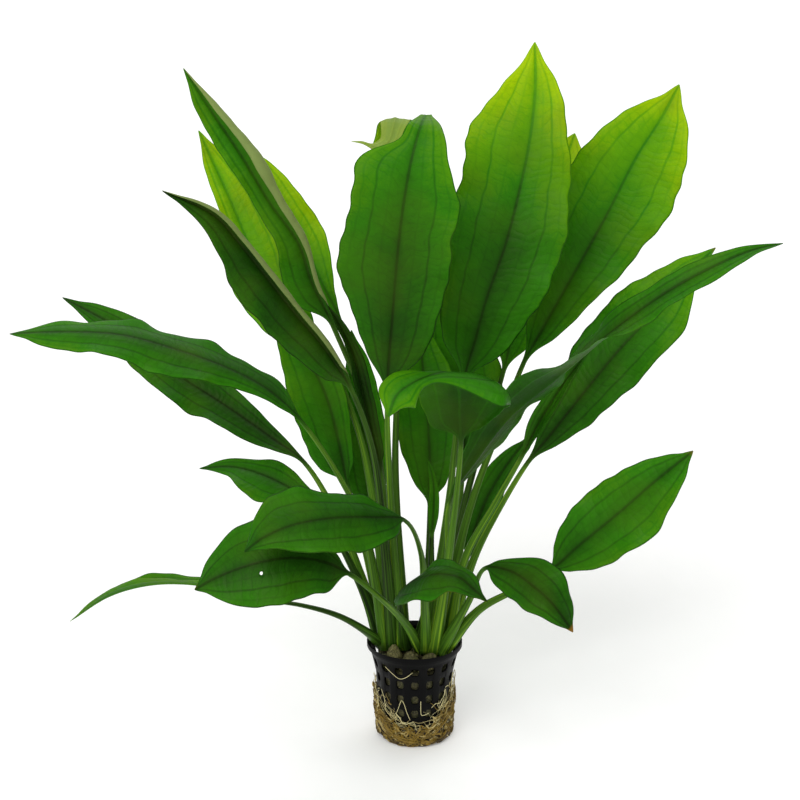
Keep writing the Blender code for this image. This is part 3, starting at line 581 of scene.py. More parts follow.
def studio_paper():
    """Matt seamless paper, very faintly toothed."""
    made, add, place = new_finish("studio_paper")
    tooth = add("TexNoise", {"Vector": place, "Scale": 60.0})
    colour = add("ValToRGB", {0: tooth},
                 stops=[(0.3, linear("#f6f6f5")), (0.7, linear("#f8f8f7"))])
    sheet = add("BsdfPrincipled", {"Base Color": colour, "Roughness": 0.95,
                                   "Specular IOR Level": 0.0, "Emission Color": colour,
                                   "Emission Strength": 0.13})
    add("OutputMaterial", {"Surface": sheet})
    return made


# ---- leaves ----
STALK_ROUND = 0.72                   # a stalk's thickness as a share of its width
STALK_K = (-1, -0.9, -0.6, -0.3, 0, 1)            # places along a stalk and blade
STALK_HALF_MM = (4.1, 3.7, 2.4, 1.75, 1.35, 0.3)   # and the half widths there
STALK_ROWS, BLADE_ROWS = 26, 100
HALF_COLUMNS = 16                    # columns in one half of a blade
FULL_RIPPLE_MM = 16                  # half width from which a margin has its full ripple
# two waves of the outline: share of the width, least and most length of one radian
WOBBLES = ((0.024, 5, 7.5), (0.014, 1.8, 2.6))
TIP_DRAWN, TIP_AT, TIP_REACH = 0.18, 0.955, 0.035   # narrowing before the tip
MOST_SLIP_MM = 12                    # furthest that a leaf may pass its CAD box


def smooth_line(points, count=601):
    """A smooth curve through the points, with its parameter at each sample and point. Each
    stretch is the cubic that fits its ends and their slopes; a point's slope is the mean of
    its two chords' slopes, weighted by the other chord's step."""
    p = np.asarray(points, float)
    step = np.sqrt(np.linalg.norm(np.diff(p, axis=0), axis=1))
    t = np.concatenate([[0.0], np.cumsum(step)])
    slope = (p[1:] - p[:-1]) / step[:, None]
    pull = np.empty_like(p)
    pull[1:-1] = (slope[:-1] * step[1:, None] + slope[1:] * step[:-1, None]) \
        / (step[:-1] + step[1:])[:, None]
    pull[0], pull[-1] = slope[0], slope[-1]
    u = np.linspace(0.0, t[-1], count)
    i = np.clip(np.searchsorted(t, u, side="right") - 1, 0, len(p) - 2)
    h, x = step[i][:, None], ((u - t[i]) / step[i])[:, None]
    return cubic(x, p[i], p[i + 1], h * pull[i], h * pull[i + 1]), u, t


def cubic(x, start, end, start_slope, end_slope):
    """The cubic from start to end with those slopes, read at x from 0 to 1."""
    return ((2 * x**3 - 3 * x**2 + 1) * start + (x**3 - 2 * x**2 + x) * start_slope
            + (3 * x**2 - 2 * x**3) * end + (x**3 - x**2) * end_slope)


def blend(k, values):
    """Values given at even steps, read smoothly at k from 0 to 1."""
    v = np.asarray(values, float)
    m = np.gradient(v)
    x = np.clip(k, 0, 1) * (len(v) - 1)
    i = np.clip(np.floor(x).astype(int), 0, len(v) - 2)
    return cubic(x - i, v[i], v[i + 1], m[i], m[i + 1])


def each_axis(at, places, values):
    """Values given at places, a row each, read at new places along straight lines."""
    return np.stack([np.interp(at, places, values[:, c]) for c in range(3)], 1)


def leaf_frames(spec):
    """Rows of points along the middle line, from the stalk's foot to the blade's tip, with
    the across and upper direction at each. The upper direction is the leaf's given facing
    less its part along the line; across is the cross product of ahead and upper. k is -1
    at the foot, 0 where the blade begins and 1 at the tip."""
    line, u, t = smooth_line(spec["line"])
    arc = running_length(line)
    foot, end = np.interp(t[spec["blade_from"]], u, arc), arc[-1]
    steps = 1 - (1 - np.linspace(0, 1, BLADE_ROWS)) ** 1.2
    low = np.linspace(0, 1, STALK_ROWS + 1)[:-1]
    at = np.concatenate([low * foot, foot + steps * (end - foot)])
    k = np.concatenate([low - 1, steps])
    reach = 0.015 * end
    ahead = each_axis(np.minimum(at + reach, end), arc, line) \
        - each_axis(np.maximum(at - reach, 0.0), arc, line)
    ahead /= np.linalg.norm(ahead, axis=1)[:, None]
    face = np.asarray(spec["face"], float)
    face /= np.linalg.norm(face, axis=1)[:, None]
    upper = each_axis(np.clip(k, 0, 1) * (len(face) - 1), np.arange(len(face)), face)
    upper -= (upper * ahead).sum(1)[:, None] * ahead
    upper /= np.linalg.norm(upper, axis=1)[:, None]
    return each_axis(at, arc, line), np.cross(ahead, upper), upper, k, at - foot


def half_blade(spec, side, across, upper, k, length, seed, ripple_mm):
    """One half of the blade's middle sheet, from the midrib outwards, as offsets from the
    middle line. At each step out, the sheet turns up by fold plus curl times the square of
    the share reached, so its out and rise are running sums of that angle's cosine and
    sine. Ripples lift it by the cube of the share. Gives offsets, normals and the half
    width."""
    chance = np.random.default_rng(seed)
    wobble = np.ones(len(k))
    for part, least, most in WOBBLES:
        wobble += part * np.sin(length / chance.uniform(least, most) + chance.uniform(0, 6))
    wobble *= 1 - TIP_DRAWN * np.exp(-((k - TIP_AT) / TIP_REACH) ** 2)
    wide = np.maximum(blend(k, [0] + spec["halves"][side] + [0]), 0) * (k > 0) * wobble
    wide += np.interp(k, STALK_K, STALK_HALF_MM)
    share = np.linspace(0, 1, HALF_COLUMNS + 1)
    middle = (share[1:] + share[:-1]) / 2
    curl = ROLLED.get((spec["name"], side), spec["curl"][side])
    angle = np.radians(spec["fold"][side] + curl * middle**2)
    angle = angle[None] * np.clip(k / 0.12, 0, 1)[:, None]
    pad = np.zeros((len(k), 1))
    out, rise = (np.hstack([pad, np.cumsum(part, 1) / HALF_COLUMNS]) * wide[:, None]
                 for part in (np.cos(angle), np.sin(angle)))
    turn = np.hstack([angle[:, :1], (angle[:, 1:] + angle[:, :-1]) / 2, angle[:, -1:]])
    outwards = (1 if side else -1) * across[:, None]
    normal = np.cos(turn)[..., None] * upper[:, None] - np.sin(turn)[..., None] * outwards
    first, second = chance.uniform(34, 48), chance.uniform(15, 22)
    wave = np.sin(FULL_TURN * length / first + chance.uniform(0, 6)) \
        + 0.35 * np.sin(FULL_TURN * length / second + chance.uniform(0, 6))
    part = np.minimum(wide / FULL_RIPPLE_MM, 1)
    size = ripple_mm * part * np.sin(math.pi * np.clip(k, 0, 1)) ** 0.6
    size *= 0.45 if abs(spec["curl"][side]) > 90 else 1.0
    # the skin also swells between the midrib and the first side vein
    swell = -0.20 * (part * np.clip(k, 0, 1) ** 0.5)[:, None] \
        * (np.cos(FULL_TURN * share / VEIN_SHARES[0]) * (share < 0.95))[None]
    lift = (size * wave)[:, None] * share[None] ** 3 + swell
    sheet = out[..., None] * outwards + rise[..., None] * upper[:, None] \
        + lift[..., None] * normal
    return sheet, normal, wide


def leaf_surface(spec, number, settings):
    """The closed skin of one leaf. Round each row it goes over the upper side from the
    left margin to the right one and back below; across runs from -1 to 1. On the stalk a
    point is half the width times the sine, and the thickness times the cosine, of a
    quarter turn times across; on the blade it is the sheet's point moved along its normal
    by half the thickness, which thins towards the margin and swells below the midrib; the
    two are mixed over the blade's first tenth."""
    point, across, upper, k, length = leaf_frames(spec)
    seed = 100 + number
    ripple_mm = settings.ripple_height / MM
    left, up_l, wide_l = half_blade(spec, 0, across, upper, k, length, seed, ripple_mm)
    right, up_r, wide_r = half_blade(spec, 1, across, upper, k, length, seed + 50, ripple_mm)
    sheet = np.concatenate([left[:, :0:-1], right], 1)
    normal = np.concatenate([up_l[:, :0:-1], up_r], 1)
    normal[:, HALF_COLUMNS] = upper
    share = np.linspace(-1, 1, 2 * HALF_COLUMNS + 1)
    stalk = np.interp(k, STALK_K, STALK_HALF_MM)
    half_thick = settings.blade_thickness / MM / 2 * (1 - 0.55 * np.abs(share) ** 3)
    tip = np.clip((1 - k) / 0.04, 0.25, 1)[:, None]
    ridge = (stalk * 0.62 * np.clip(1 - k, 0, 1) ** 0.6)[:, None] \
        * np.exp(-(share[None] * (wide_l + wide_r)[:, None] / 2 / 1.35) ** 2)
    turn = share * math.pi / 2
    oval_out = (stalk[:, None] * np.sin(turn))[..., None] * across[:, None]
    oval_up = (stalk[:, None] * STALK_ROUND * np.cos(turn))[..., None] * upper[:, None]
    flat = smooth_step(k, -0.02, 0.11)[:, None, None]
    top, low = ((oval_out + way * oval_up) * (1 - flat)
                + (sheet + way * normal * ((half_thick + swell * ridge) * tip)[..., None]) * flat
                for way, swell in ((1, -0.25), (-1, 1)))
    skin = np.concatenate([top, low[:, ::-1]], 1) + point[:, None]
    rows, around = skin.shape[:2]
    ends = np.stack([skin[0].mean(0), skin[-1].mean(0)])
    points = np.concatenate([skin.reshape(-1, 3), ends])

    # the tone carries painted light: a backlit glow towards the tips of the upper leaves and
    # painted shade on the lower and inner ones, on top of each leaf's age
    *tones, dry_tip, dry_edge = spec["looks"]
    tone = np.interp(k, [0, 0.45, 1.0], tones)
    both = np.concatenate([share, share[::-1]])[None]
    below = np.repeat([0.0, 1.0], len(share))[None]
    dry = dry_tip * smooth_step(k, 0.90, 1.0)[:, None] \
        + dry_edge * smooth_step(np.abs(both), 0.9, 1.0) * smooth_step(k, 0.25, 0.8)[:, None]
    dry += np.where(k < 0, np.random.default_rng(seed).uniform(-0.17, 0.19), 0)[:, None]
    bloom = PALE_BELOW.get(spec["name"], MOST_PALE_BELOW)
    # each mark: its value over the rows, at the foot's point and at the tip's
    marks = {
        "across": (both, 0, 0),
        "along": (k[:, None], -1, 1),
        "half_mm": (np.where(both < 0, wide_l[:, None], wide_r[:, None]), stalk[0], stalk[-1]),
        "length_mm": (length[:, None], length[0], length[-1]),
        "below": (below, 0, 0),
        "under": (below * bloom, 0, 0),
        "tone": (tone[:, None], tones[0], tones[-1]),
        "dry": (dry, 0, dry_tip),
    }
    marks = {key: np.append(np.broadcast_to(value, (rows, around)), ends)
             for key, (value, *ends) in marks.items()}
    skin_faces = grid_faces(rows, around)
    keep = np.ones(skin_faces.shape[:2], bool)
    extra = []
    if spec["name"] == HOLED_LEAF:
        extra = bite_hole(points, keep, around)
    return points, [skin_faces[keep], end_fans(rows, around)] + extra, marks


def bite_hole(points, keep, around):
    """Leave out two rows and two columns of the blade, above and below, round off the
    gap's corners, and wall its edge: a snail's bite of about three millimetres."""
    i0, j0, size = STALK_ROWS + BLADE_ROWS // 2, HALF_COLUMNS - 5, 2
    keep[i0:i0 + size, j0:j0 + size] = False
    keep[i0:i0 + size, around - 1 - j0 - size:around - 1 - j0] = False
    side = np.arange(size)
    rows = i0 + np.concatenate([0 * side, side, size + 0 * side, size - side])
    columns = j0 + np.concatenate([side, size + 0 * side, size - side, 0 * side])
    top = rows * around + columns
    low = rows * around + around - 1 - columns
    for ring in (top, low):
        middle = points[ring].mean(0)
        away = points[ring] - middle
        reach = np.linalg.norm(away, axis=1)
        points[ring] = middle + away * (reach.min() / reach)[:, None] ** 0.8
    after = np.roll(np.arange(len(top)), -1)
    return [np.stack([low[after], low, top, top[after]], 1)]


class SWORDPLANT_OT_leaves(bpy.types.Operator):
    """Grow the 29 leaves, each a closed skin from its stalk's foot to its blade's tip"""
    bl_idname = "sword_plant.leaves"
    bl_label = "Leaves"

    def execute(self, context):
        settings = context.scene.sword_plant_leaves
        finish = living_leaf(settings)
        for number, spec in enumerate(LEAVES):
            points, faces, marks = leaf_surface(spec, number, settings)
            low, high = cad_box_mm(spec["name"])
            slip = max(np.abs(points.min(0) - low).max(), np.abs(points.max(0) - high).max())
            if slip > MOST_SLIP_MM:
                raise RuntimeError(f"{spec['name']} leaves its CAD box by {slip:.1f} mm")
            name = spec["name"].replace("leaf_", "foliage_")
            settle(put_mesh(name, points, faces, finish, marks), "leaf", spec["name"])
        return {"FINISHED"}


# ---- net pot ----
POT_FLOOR_R, POT_TOP_R = 20.0, 23.2
FLARE_MM, FLARE_FROM_Z, FLARE_TO_Z = 1.9, 38, 53   # the wall widens so much between these
WINDOW_SHARE, WINDOW_ROWS = 0.50, 5
WINDOW_FIRST_Z, WINDOW_H, WINDOW_STEP = 9.0, 4.9, 9.0
WINDOW_LEVELS = 4                    # grid rows over a window's height
OPEN_COLUMNS, WEB_COLUMNS = 6, 4     # grid columns over a window and over the web beside it
CORNER_MM = 0.55                     # how far a window's corners move in to round it


def wall_radius(z):
    """Outer radius of the tapering wall at a height."""
    share = (z - POT_FLOOR_Z) / (POT_RIM_Z - POT_FLOOR_Z)
    return POT_FLOOR_R + (POT_TOP_R - POT_FLOOR_R) * share


def flared_radius(z):
    """The tapering wall's radius with its last part widening towards the rim."""
    return wall_radius(z) + FLARE_MM * smooth_step(z, FLARE_FROM_Z, FLARE_TO_Z)


def pot_surface(settings):
    """The pot's skin, a profile of radius against height turned round Z: floor, wall
    widening towards the top, rim and skirt. Cells inside the windows are left out, and
    the points at a window's corners move inwards to round it."""
    profile = [(POT_FLOOR_R * 0.25, POT_FLOOR_Z), (POT_FLOOR_R * 0.6, POT_FLOOR_Z),
               (POT_FLOOR_R - 0.8, POT_FLOOR_Z), (POT_FLOOR_R, POT_FLOOR_Z + 0.5)]
    bands = []
    for low in WINDOW_FIRST_Z + WINDOW_STEP * np.arange(WINDOW_ROWS):
        bands.append(len(profile))
        profile += [(flared_radius(z), z)
                    for z in np.linspace(low, low + WINDOW_H, WINDOW_LEVELS + 1)]
    wall = settings.wall / MM
    under, inner = POT_RIM_Z - wall, RIM_R - wall
    skirt = POT_RIM_Z - settings.rim_skirt / MM
    profile += [(flared_radius(skirt - 1.2), skirt - 1.2), (inner - 0.9, skirt + 0.1),
                (inner - 0.5, skirt + 0.9), (inner - 0.3, under - 0.7),
                (inner - 0.2, under - 0.2), (inner, under), (inner, under - 0.5)]
    radii, heights = np.array(profile).T
    pitch = FULL_TURN / settings.windows
    start = -math.pi / 2 - pitch * WINDOW_SHARE / 2 + pitch * np.arange(settings.windows)
    cells = np.concatenate([np.linspace(0, WINDOW_SHARE, OPEN_COLUMNS, endpoint=False),
                            np.linspace(WINDOW_SHARE, 1, WEB_COLUMNS, endpoint=False)])
    angle = (start[:, None] + cells[None] * pitch).ravel()
    turn = np.tile(angle, (len(radii), 1))
    level = np.tile(heights[:, None], (1, len(angle)))
    place = np.arange(len(angle)) % len(cells)
    faces = grid_faces(len(radii), len(angle))
    keep = np.ones(faces.shape[:2], bool)
    for band in bands:
        keep[band:band + WINDOW_LEVELS, place < OPEN_COLUMNS] = False
        for row, up in ((band, 1), (band + WINDOW_LEVELS, -1)):
            for column, along in ((0, 1), (OPEN_COLUMNS, -1)):
                level[row, place == column] += up * CORNER_MM
                turn[row, place == column] += along * CORNER_MM / POT_TOP_R
    points = around_z(radii[:, None], turn, level).reshape(-1, 3)
    points = np.concatenate([points, [[0, 0, POT_FLOOR_Z]]])
    floor = end_fans(len(radii), len(angle))[:len(angle)]
    return points, [faces[keep], floor]


class SWORDPLANT_OT_pot(bpy.types.Operator):
    """Mould the black net pot with its rows of windows and its rolled rim"""
    bl_idname = "sword_plant.pot"
    bl_label = "Net pot"

    def execute(self, context):
        settings = context.scene.sword_plant_pot
        points, faces = pot_surface(settings)
        pot = put_mesh("pot_shell", points, faces, moulded_plastic(settings))
        shell = pot.modifiers.new("wall", "SOLIDIFY")
        shell.thickness = settings.wall
        shell.offset = -1.0
        shell.use_even_offset = True
        edge = pot.modifiers.new("edges", "BEVEL")
        edge.width = 0.22 * MM
        edge.segments = 2
        edge.limit_method = "ANGLE"
        edge.angle_limit = math.radians(40)
        settle(pot, "pot", "net_pot")
        return {"FINISHED"}


# ---- growing medium and crowns ----
# lumps of wool on the plug: x, y, half sizes, turn in degrees
LUMPS = (
    ("lump_front_left", -11.6, -12.3, 4.6, 3.4, 6.2, 20),
    ("lump_front", -2.2, -15.4, 4.7, 3.8, 5.2, -10),
    ("lump_front_right", 8.4, -16.3, 4.6, 2.9, 4.8, 12),
    ("lump_back", 1.0, 15.6, 6.0, 4.4, 3.3, -8),
)
CRUMBS = 420
PLUG_SLACK = 1.9                     # from the wall's outside to the plug


def turned_surface(profile, rows, columns, rough_mm, seed):
    """A profile of (radius, height), read evenly along its length and turned round Z, then
    pushed in and out along the radius by lumpy noise of two sizes. Gives points and faces
    with both poles closed."""
    p = np.array(profile, float)
    arc = running_length(p)
    at = np.linspace(0, arc[-1], rows + 2)
    radius, height = np.interp(at, arc, p[:, 0]), np.interp(at, arc, p[:, 1])
    turn = np.arange(columns) * FULL_TURN / columns
    ring = around_z(radius[1:-1, None], turn, height[1:-1, None])
    push = rough_mm * (ripple(ring, 9, seed) + 0.6 * ripple(ring, 3, seed + 1))
    away = ring * np.array([1, 1, 0]) / np.maximum(radius[1:-1, None, None], 1)
    points = (ring + push[..., None] * away).reshape(-1, 3)
    points = np.concatenate([points, [[0, 0, height[0]], [0, 0, height[-1]]]])
    return points, [grid_faces(rows, columns), end_fans(rows, columns)]


def boulder_surface(middle, half, turn_degrees, seed, rough=0.16):
    """A lumpy egg: the unit sphere by latitude and turn, swollen by noise, then scaled to
    its half sizes, turned round Z and moved."""
    rows, columns = 30, 48
    lift = np.linspace(-math.pi / 2, math.pi / 2, rows + 2)[1:-1, None]
    turn = np.arange(columns) * FULL_TURN / columns
    ball = around_z(np.cos(lift), turn, np.sin(lift)).reshape(-1, 3)
    ball = np.concatenate([ball, [[0, 0, -1], [0, 0, 1]]])
    swell = 1 + rough * ripple(ball, 1.3, seed) + 0.5 * rough * ripple(ball, 0.45, seed + 1)
    ball = ball * swell[:, None] * np.asarray(half, float)
    c, s = math.cos(math.radians(turn_degrees)), math.sin(math.radians(turn_degrees))
    ball = ball @ np.array([[c, s, 0], [-s, c, 0], [0, 0, 1]]) + np.asarray(middle, float)
    return ball, [grid_faces(rows, columns), end_fans(rows, columns)]


def crumbs(count):
    """Loose crumbs of wool and moss over the plug's front and middle: each is an
    octahedron of its own three half sizes, turned round Z and set on the plug's top."""
    chance = np.random.default_rng(61)
    place, turn = chance.uniform(0, FULL_TURN, (2, count))
    reach = 20.5 * chance.uniform(0, 1, count) ** 0.35
    half = chance.uniform(0.4, 1.3, (count, 3)) * np.array([1.2, 1.0, 0.8])
    corner = np.array([[1, 0, 0], [0, 1, 0], [-1, 0, 0], [0, -1, 0], [0, 0, 1], [0, 0, -1.0]])
    x, y, z = np.moveaxis(corner[None] * half[:, None], -1, 0)
    c, s = np.cos(turn)[:, None], np.sin(turn)[:, None]
    middle = around_z(reach, place, PLUG_TOP_Z + chance.uniform(0.2, 6.2, count) ** 1.15)
    points = middle[:, None] + np.stack([c * x - s * y, s * x + c * y, z], -1)
    ring = np.arange(4)
    after = (ring + 1) % 4
    one = np.concatenate([np.stack([ring, after, ring * 0 + 4], 1),
                          np.stack([after, ring, ring * 0 + 5], 1)])
    return points.reshape(-1, 3), [one[None] + (np.arange(count) * 6)[:, None, None]]


class SWORDPLANT_OT_medium(bpy.types.Operator):
    """Pack the pot with wet rock wool and set loose lumps of it on top"""
    bl_idname = "sword_plant.medium"
    bl_label = "Rock wool"

    def execute(self, context):
        settings = context.scene.sword_plant_roots
        low = POT_FLOOR_Z + 1.6
        top_r, low_r = wall_radius(PLUG_TOP_Z) - PLUG_SLACK, wall_radius(low) - PLUG_SLACK
        profile = [(0, low), (low_r, low), (top_r, PLUG_TOP_Z - 1.8),
                   (top_r - 2.4, PLUG_TOP_Z - 0.3), (0, PLUG_TOP_Z - 0.3)]
        points, faces = turned_surface(profile, 84, 150, 0.35, 7)
        plug = put_mesh("wool_plug", points, faces, wet_wool("wet_rock_wool", settings, 0.5))
        settle(plug, "rock_wool", "rock_wool_plug")
        mossy = wet_wool("mossy_rock_wool", settings, 0.45, 2.0)
        clean = wet_wool("clean_rock_wool", settings, 0.1, 3.0)
        for number, (name, x, y, sx, sy, sz, turn) in enumerate(LUMPS):
            points, faces = boulder_surface((x, y, PLUG_TOP_Z + 0.35 + sz), (sx, sy, sz),
                                            turn, 20 + number)
            finish = mossy if number % 3 else clean
            settle(put_mesh("wool_" + name, points, faces, finish), "rock_wool", name)
        settle(put_mesh("wool_crumbs", *crumbs(CRUMBS), mossy), "rock_wool")
        return {"FINISHED"}


class SWORDPLANT_OT_crowns(bpy.types.Operator):
    """Form the two knobbly crowns that the stalks spring from"""
    bl_idname = "sword_plant.crowns"
    bl_label = "Crowns"

    def execute(self, context):
        finish = crown_tissue()
        for number, name in enumerate(("crown_left", "crown_right")):
            low, high = cad_box_mm(name)
            r, z0, z1 = (high[0] - low[0]) / 2, low[2], high[2]
            profile = [(0, z0), (r * 0.8, z0), (r, z0 + 2.4), (r * 0.97, z0 + 4.6),
                       (r * 0.86, z1 - 0.9), (r * 0.7, z1), (0, z1)]
            points, faces = turned_surface(profile, 44, 72, 0.55, 40 + number)
            points[:, :2] += (low + high)[:2] / 2
            settle(put_mesh("stock_" + name, points, faces, finish), "crown", name)
        return {"FINISHED"}


# ---- roots ----
MAT_FRONT_Z, MAT_CLIMB_MM = 12.5, 15.0


def tubes(paths, radii, sides=5):
    """Round tubes along many paths at once. At each point the ring stands square to the
    path: its two axes are the cross products of the path's direction with a fixed slant
    and with each other. Both ends close on a point."""
    count, steps = paths.shape[:2]
    ahead = np.gradient(paths, axis=1)
    ahead /= np.linalg.norm(ahead, axis=2)[..., None] + 1e-9
    one = np.cross(ahead, np.array([0.31, 0.17, 0.93]))
    one /= np.linalg.norm(one, axis=2)[..., None] + 1e-9
    two = np.cross(ahead, one)
    turn = (np.arange(sides) * FULL_TURN / sides)[:, None]
    ring = np.cos(turn) * one[..., None, :] + np.sin(turn) * two[..., None, :]
    points = paths[..., None, :] + ring * radii[..., None, None]
    whole = np.concatenate([points.reshape(count, -1, 3), paths[:, :1], paths[:, -1:]], 1)
    per = steps * sides + 2
    shift = (np.arange(count) * per)[:, None, None]
    faces = [grid_faces(steps, sides).reshape(-1, 4)[None] + shift,
             end_fans(steps, sides)[None] + shift]
    return whole.reshape(-1, 3), faces, per


def mat_top(turn):
    """Height that the root mat reaches at a turn round the pot: low in front and behind,
    climbing as the square of the cosine at the two sides."""
    return MAT_FRONT_Z + MAT_CLIMB_MM * np.cos(turn) ** 2


def wound_paths(chance, count, steps, low, high, spin, drop, wander, skin, bias=1.0):
    """Paths wound round the pot. Heights are shares of the mat's top at that turn, from
    low to high, crowded downwards by bias; each path goes on by spin and falls by drop
    while two slow sines make it wander, skin millimetres off the wall."""
    t = np.linspace(0, 1, steps)[None]
    turn = chance.uniform(0, FULL_TURN, (count, 1)) \
        + chance.normal(0, 1, (count, 1)) * spin * (t - 0.5)
    share = low + (high - low) * chance.uniform(0, 1, (count, 1)) ** bias
    z = share * mat_top(turn) + chance.normal(0, 1, (count, 1)) * drop * (t - 0.5)
    for beat in (1, 2.6):
        start = chance.uniform(0, 6.3, (count, 2, 1))
        z = z + wander / beat * np.sin(FULL_TURN * beat * t + start[:, 0])
        turn = turn + wander / beat / 24 * np.sin(FULL_TURN * beat * t + start[:, 1])
    z = np.clip(z, 0.9, POT_RIM_Z - 8)
    away = skin + chance.uniform(-0.3, 0.6, (count, 1)) \
        + 0.35 * np.sin(FULL_TURN * 1.3 * t + chance.uniform(0, 6.3, (count, 1)))
    away -= 1.6 * np.clip(1 - z / 3.5, 0, 1) ** 2
    return around_z(flared_radius(z) + 0.4 + np.maximum(away, 0.05), turn, z)


def on_wall(places, skin=0.5, steps=24):
    """A path along the pot's wall through places given as (degrees from the front towards
    +X, height), read evenly through a smooth curve."""
    line, _, _ = smooth_line([(a, z, 0.0) for a, z in places], steps)
    return around_z(flared_radius(line[:, 1]) + skin, np.radians(line[:, 0]) - math.pi / 2,
                    line[:, 1])


# single pale roots on the wall: degrees from the front towards +X, and heights
LONE_ROOTS = (
    ((-42, 49), (-33, 46), (-22, 43), (-12, 44.5), (-3, 48)),
    ((-29, 20), (-24, 25), (-20, 29), (-17, 28), (-12, 22), (-7, 17)),
    ((9, 29), (9, 25), (10, 20.5), (14, 20), (22, 21)),
    ((26, 24), (33, 26), (40, 25.5), (46, 28)),
    ((52, 33), (55, 27), (50, 21), (44, 16)),
    ((-58, 32), (-52, 27), (-50, 21), (-44, 18)),
    ((74, 40), (70, 34), (73, 28), (66, 22)),
    ((150, 36), (158, 30), (154, 22), (163, 15)),
    ((-140, 38), (-146, 31), (-138, 24), (-145, 16)),
)
LONE_ROOT_R = 0.14
LOWEST_Z = 0.15                      # no root goes below this


class SWORDPLANT_OT_roots(bpy.types.Operator):
    """Wind roots round the pot's foot and spread finer ones over its wall"""
    bl_idname = "sword_plant.roots"
    bl_label = "Roots"

    def execute(self, context):
        settings = context.scene.sword_plant_roots
        chance = np.random.default_rng(11)
        r = MAT_R
        profile = [(0, 0.7), (r - 4.0, 0.7), (r - 2.4, 2.4), (r - 1.3, 5.5), (r - 1.2, 9.5),
                   (wall_radius(12) + 0.5, 12.0), (wall_radius(11) + 0.15, 12.2),
                   (POT_FLOOR_R + 0.5, 5.2), (POT_FLOOR_R - 1, 4.6), (0, 4.6)]
        points, faces = turned_surface(profile, 90, 150, 0.45, 3)
        points[:, 2] = np.maximum(points[:, 2], 2 * LOWEST_Z)
        # the core under the strands is coloured darker than them and shows through in the gaps
        # between them
        core = put_mesh("root_core", points, faces, root_skin("dark_root_core", settings, -0.5),
                        {"age": np.full(len(points), 0.3)})
        settle(core, "roots", "root_mat")
        mat, hang = settings.mat_strands, settings.hanging_strands
        # name, thickness, age, count, steps, then low, high, spin, drop, wander, skin, bias
        groups = (
            ("root_cords", 0.62, 0.30, mat // 3, 14, 0.02, 0.80, 0.9, 3, 1.6, 1.1, 1.3),
            ("root_strands", 0.36, 0.42, mat // 2, 12, 0.02, 1.00, 0.5, 5, 2.0, 1.5, 1.1),
            ("root_threads", 0.13, 0.78, mat // 3, 10, 0.3, 1.25, 0.7, 6, 1.9, 0.7, 1.0),
            ("root_hangers", 0.16, 0.80, hang // 2, 12, 0.8, 1.5, 0.3, 9, 1.6, 0.4, 1.6),
        )
        finish = root_skin("living_roots", settings, -0.20)
        for name, thick, age, count, steps, *habit in groups:
            paths = wound_paths(chance, count, steps, *habit)
            size = thick * chance.uniform(0.6, 1.4, (count, 1)) * np.linspace(1.1, 0.6, steps)
            points, faces, per = tubes(paths, size)
            ages = np.repeat(np.clip(chance.normal(age, 0.16, count), 0, 1), per)
            points[:, 2] = np.maximum(points[:, 2], LOWEST_Z)
            settle(put_mesh(name, points, faces, finish, {"age": ages}), "roots")
        paths = np.stack([on_wall(places) for places in LONE_ROOTS])
        points, faces, _ = tubes(paths, np.full(paths.shape[:2], LONE_ROOT_R), 6)
        lone = put_mesh("root_lone", points, faces, finish, {"age": np.ones(len(points))})
        settle(lone, "roots")
        return {"FINISHED"}


# ---- stage ----
FLOOR_R_MM, FLOOR_DROP_MM = 14000, 0.05
# sun lamps: name, strength, softness and turns about X, Y and Z in degrees
SUNS = (("key", 2.0, 50, (46, 0, -24)), ("back", 1.0, 60, (-40, 0, -16)))
SKY_STRENGTH = 0.45
CAMERA_PLACE, CAMERA_DIP = (-0.0083, -0.993, 0.500), 16.8    # metres, and degrees down


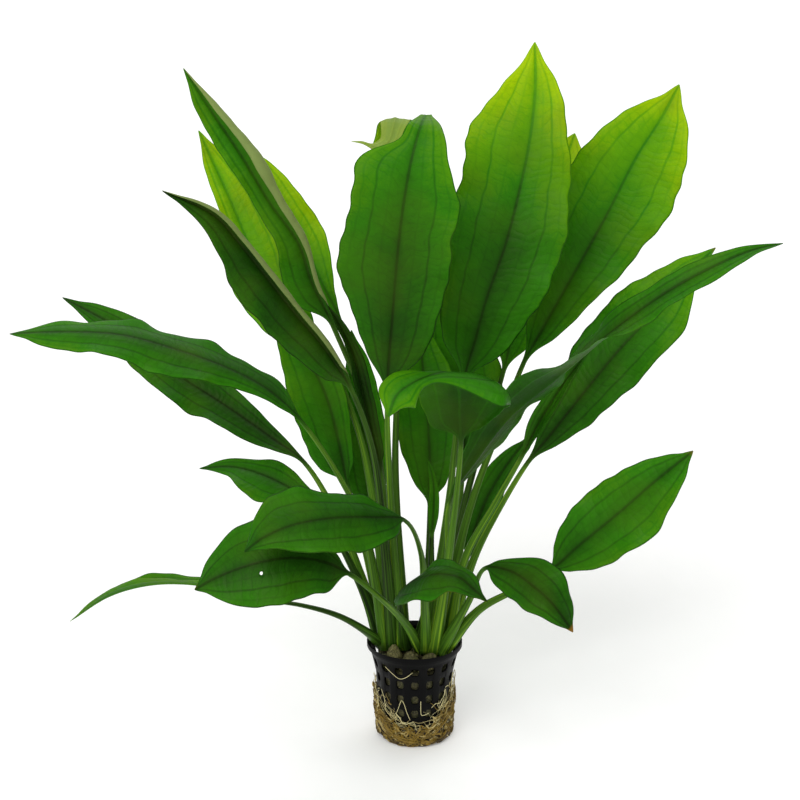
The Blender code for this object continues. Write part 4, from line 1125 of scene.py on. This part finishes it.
class SWORDPLANT_OT_stage(bpy.types.Operator):
    """Lay a pale paper floor, set soft studio lights and place the camera"""
    bl_idname = "sword_plant.stage"
    bl_label = "Stage"

    def execute(self, context):
        scene = context.scene
        j = np.arange(96)
        ring = around_z(FLOOR_R_MM, j * FULL_TURN / len(j), -FLOOR_DROP_MM)
        points = np.concatenate([ring, [[0, 0, -FLOOR_DROP_MM]]])
        fan = np.stack([np.full(len(j), len(j)), j, (j + 1) % len(j)], 1)
        put_mesh("studio_floor", points, [fan], studio_paper())
        scene.world = bpy.data.worlds.new("studio")
        scene.world.use_nodes = True
        sky = scene.world.node_tree.nodes["Background"]
        sky.inputs["Color"].default_value = (1.0, 1.0, 1.0, 1.0)
        sky.inputs["Strength"].default_value = SKY_STRENGTH
        for name, strength, softness, turns in SUNS:
            light = bpy.data.lights.new(name, "SUN")
            light.energy = strength
            light.angle = math.radians(softness)
            lamp = bpy.data.objects.new(name, light)
            lamp.rotation_euler = Euler([math.radians(a) for a in turns], "XYZ")
            scene.collection.objects.link(lamp)
        scene.view_settings.view_transform = "Standard"
        lens = bpy.data.cameras.new("camera")
        lens.lens = 85
        lens.sensor_width = 36
        camera = bpy.data.objects.new("camera", lens)
        camera.location = CAMERA_PLACE
        camera.rotation_euler = Euler((math.radians(90 - CAMERA_DIP), 0, 0), "XYZ")
        scene.collection.objects.link(camera)
        scene.camera = camera
        return {"FINISHED"}


# ---- add-on layout ----
SETTINGS = {"sword_plant_leaves": SwordPlantLeafSettings,
            "sword_plant_pot": SwordPlantPotSettings,
            "sword_plant_roots": SwordPlantRootSettings}
OPERATORS = (SWORDPLANT_OT_pot, SWORDPLANT_OT_medium, SWORDPLANT_OT_crowns,
             SWORDPLANT_OT_roots, SWORDPLANT_OT_leaves, SWORDPLANT_OT_stage)


class SWORDPLANT_PT_panel(bpy.types.Panel):
    """Buttons for each group of pieces, with the settings they use"""
    bl_label = "Sword Plant"
    bl_idname = "SWORDPLANT_PT_panel"
    bl_space_type = "VIEW_3D"
    bl_region_type = "UI"
    bl_category = "Sword Plant"

    def draw(self, context):
        for group in SETTINGS:
            box = self.layout.box()
            settings = getattr(context.scene, group)
            for key in settings.__annotations__:
                box.prop(settings, key)
        for operator in OPERATORS:
            self.layout.operator(operator.bl_idname)


def register():
    """Make the settings, operators and panel known."""
    for name, group in SETTINGS.items():
        bpy.utils.register_class(group)
        setattr(bpy.types.Scene, name, PointerProperty(type=group))
    for cls in (*OPERATORS, SWORDPLANT_PT_panel):
        bpy.utils.register_class(cls)


def unregister():
    """Take them away again."""
    for cls in reversed((*OPERATORS, SWORDPLANT_PT_panel)):
        bpy.utils.unregister_class(cls)
    for name, group in SETTINGS.items():
        delattr(bpy.types.Scene, name)
        bpy.utils.unregister_class(group)


def main():
    """Register, then build every piece in order."""
    register()
    bpy.ops.sword_plant.pot()
    bpy.ops.sword_plant.medium()
    bpy.ops.sword_plant.crowns()
    bpy.ops.sword_plant.roots()
    bpy.ops.sword_plant.leaves()
    bpy.ops.sword_plant.stage()


if __name__ == "__main__":
    main()
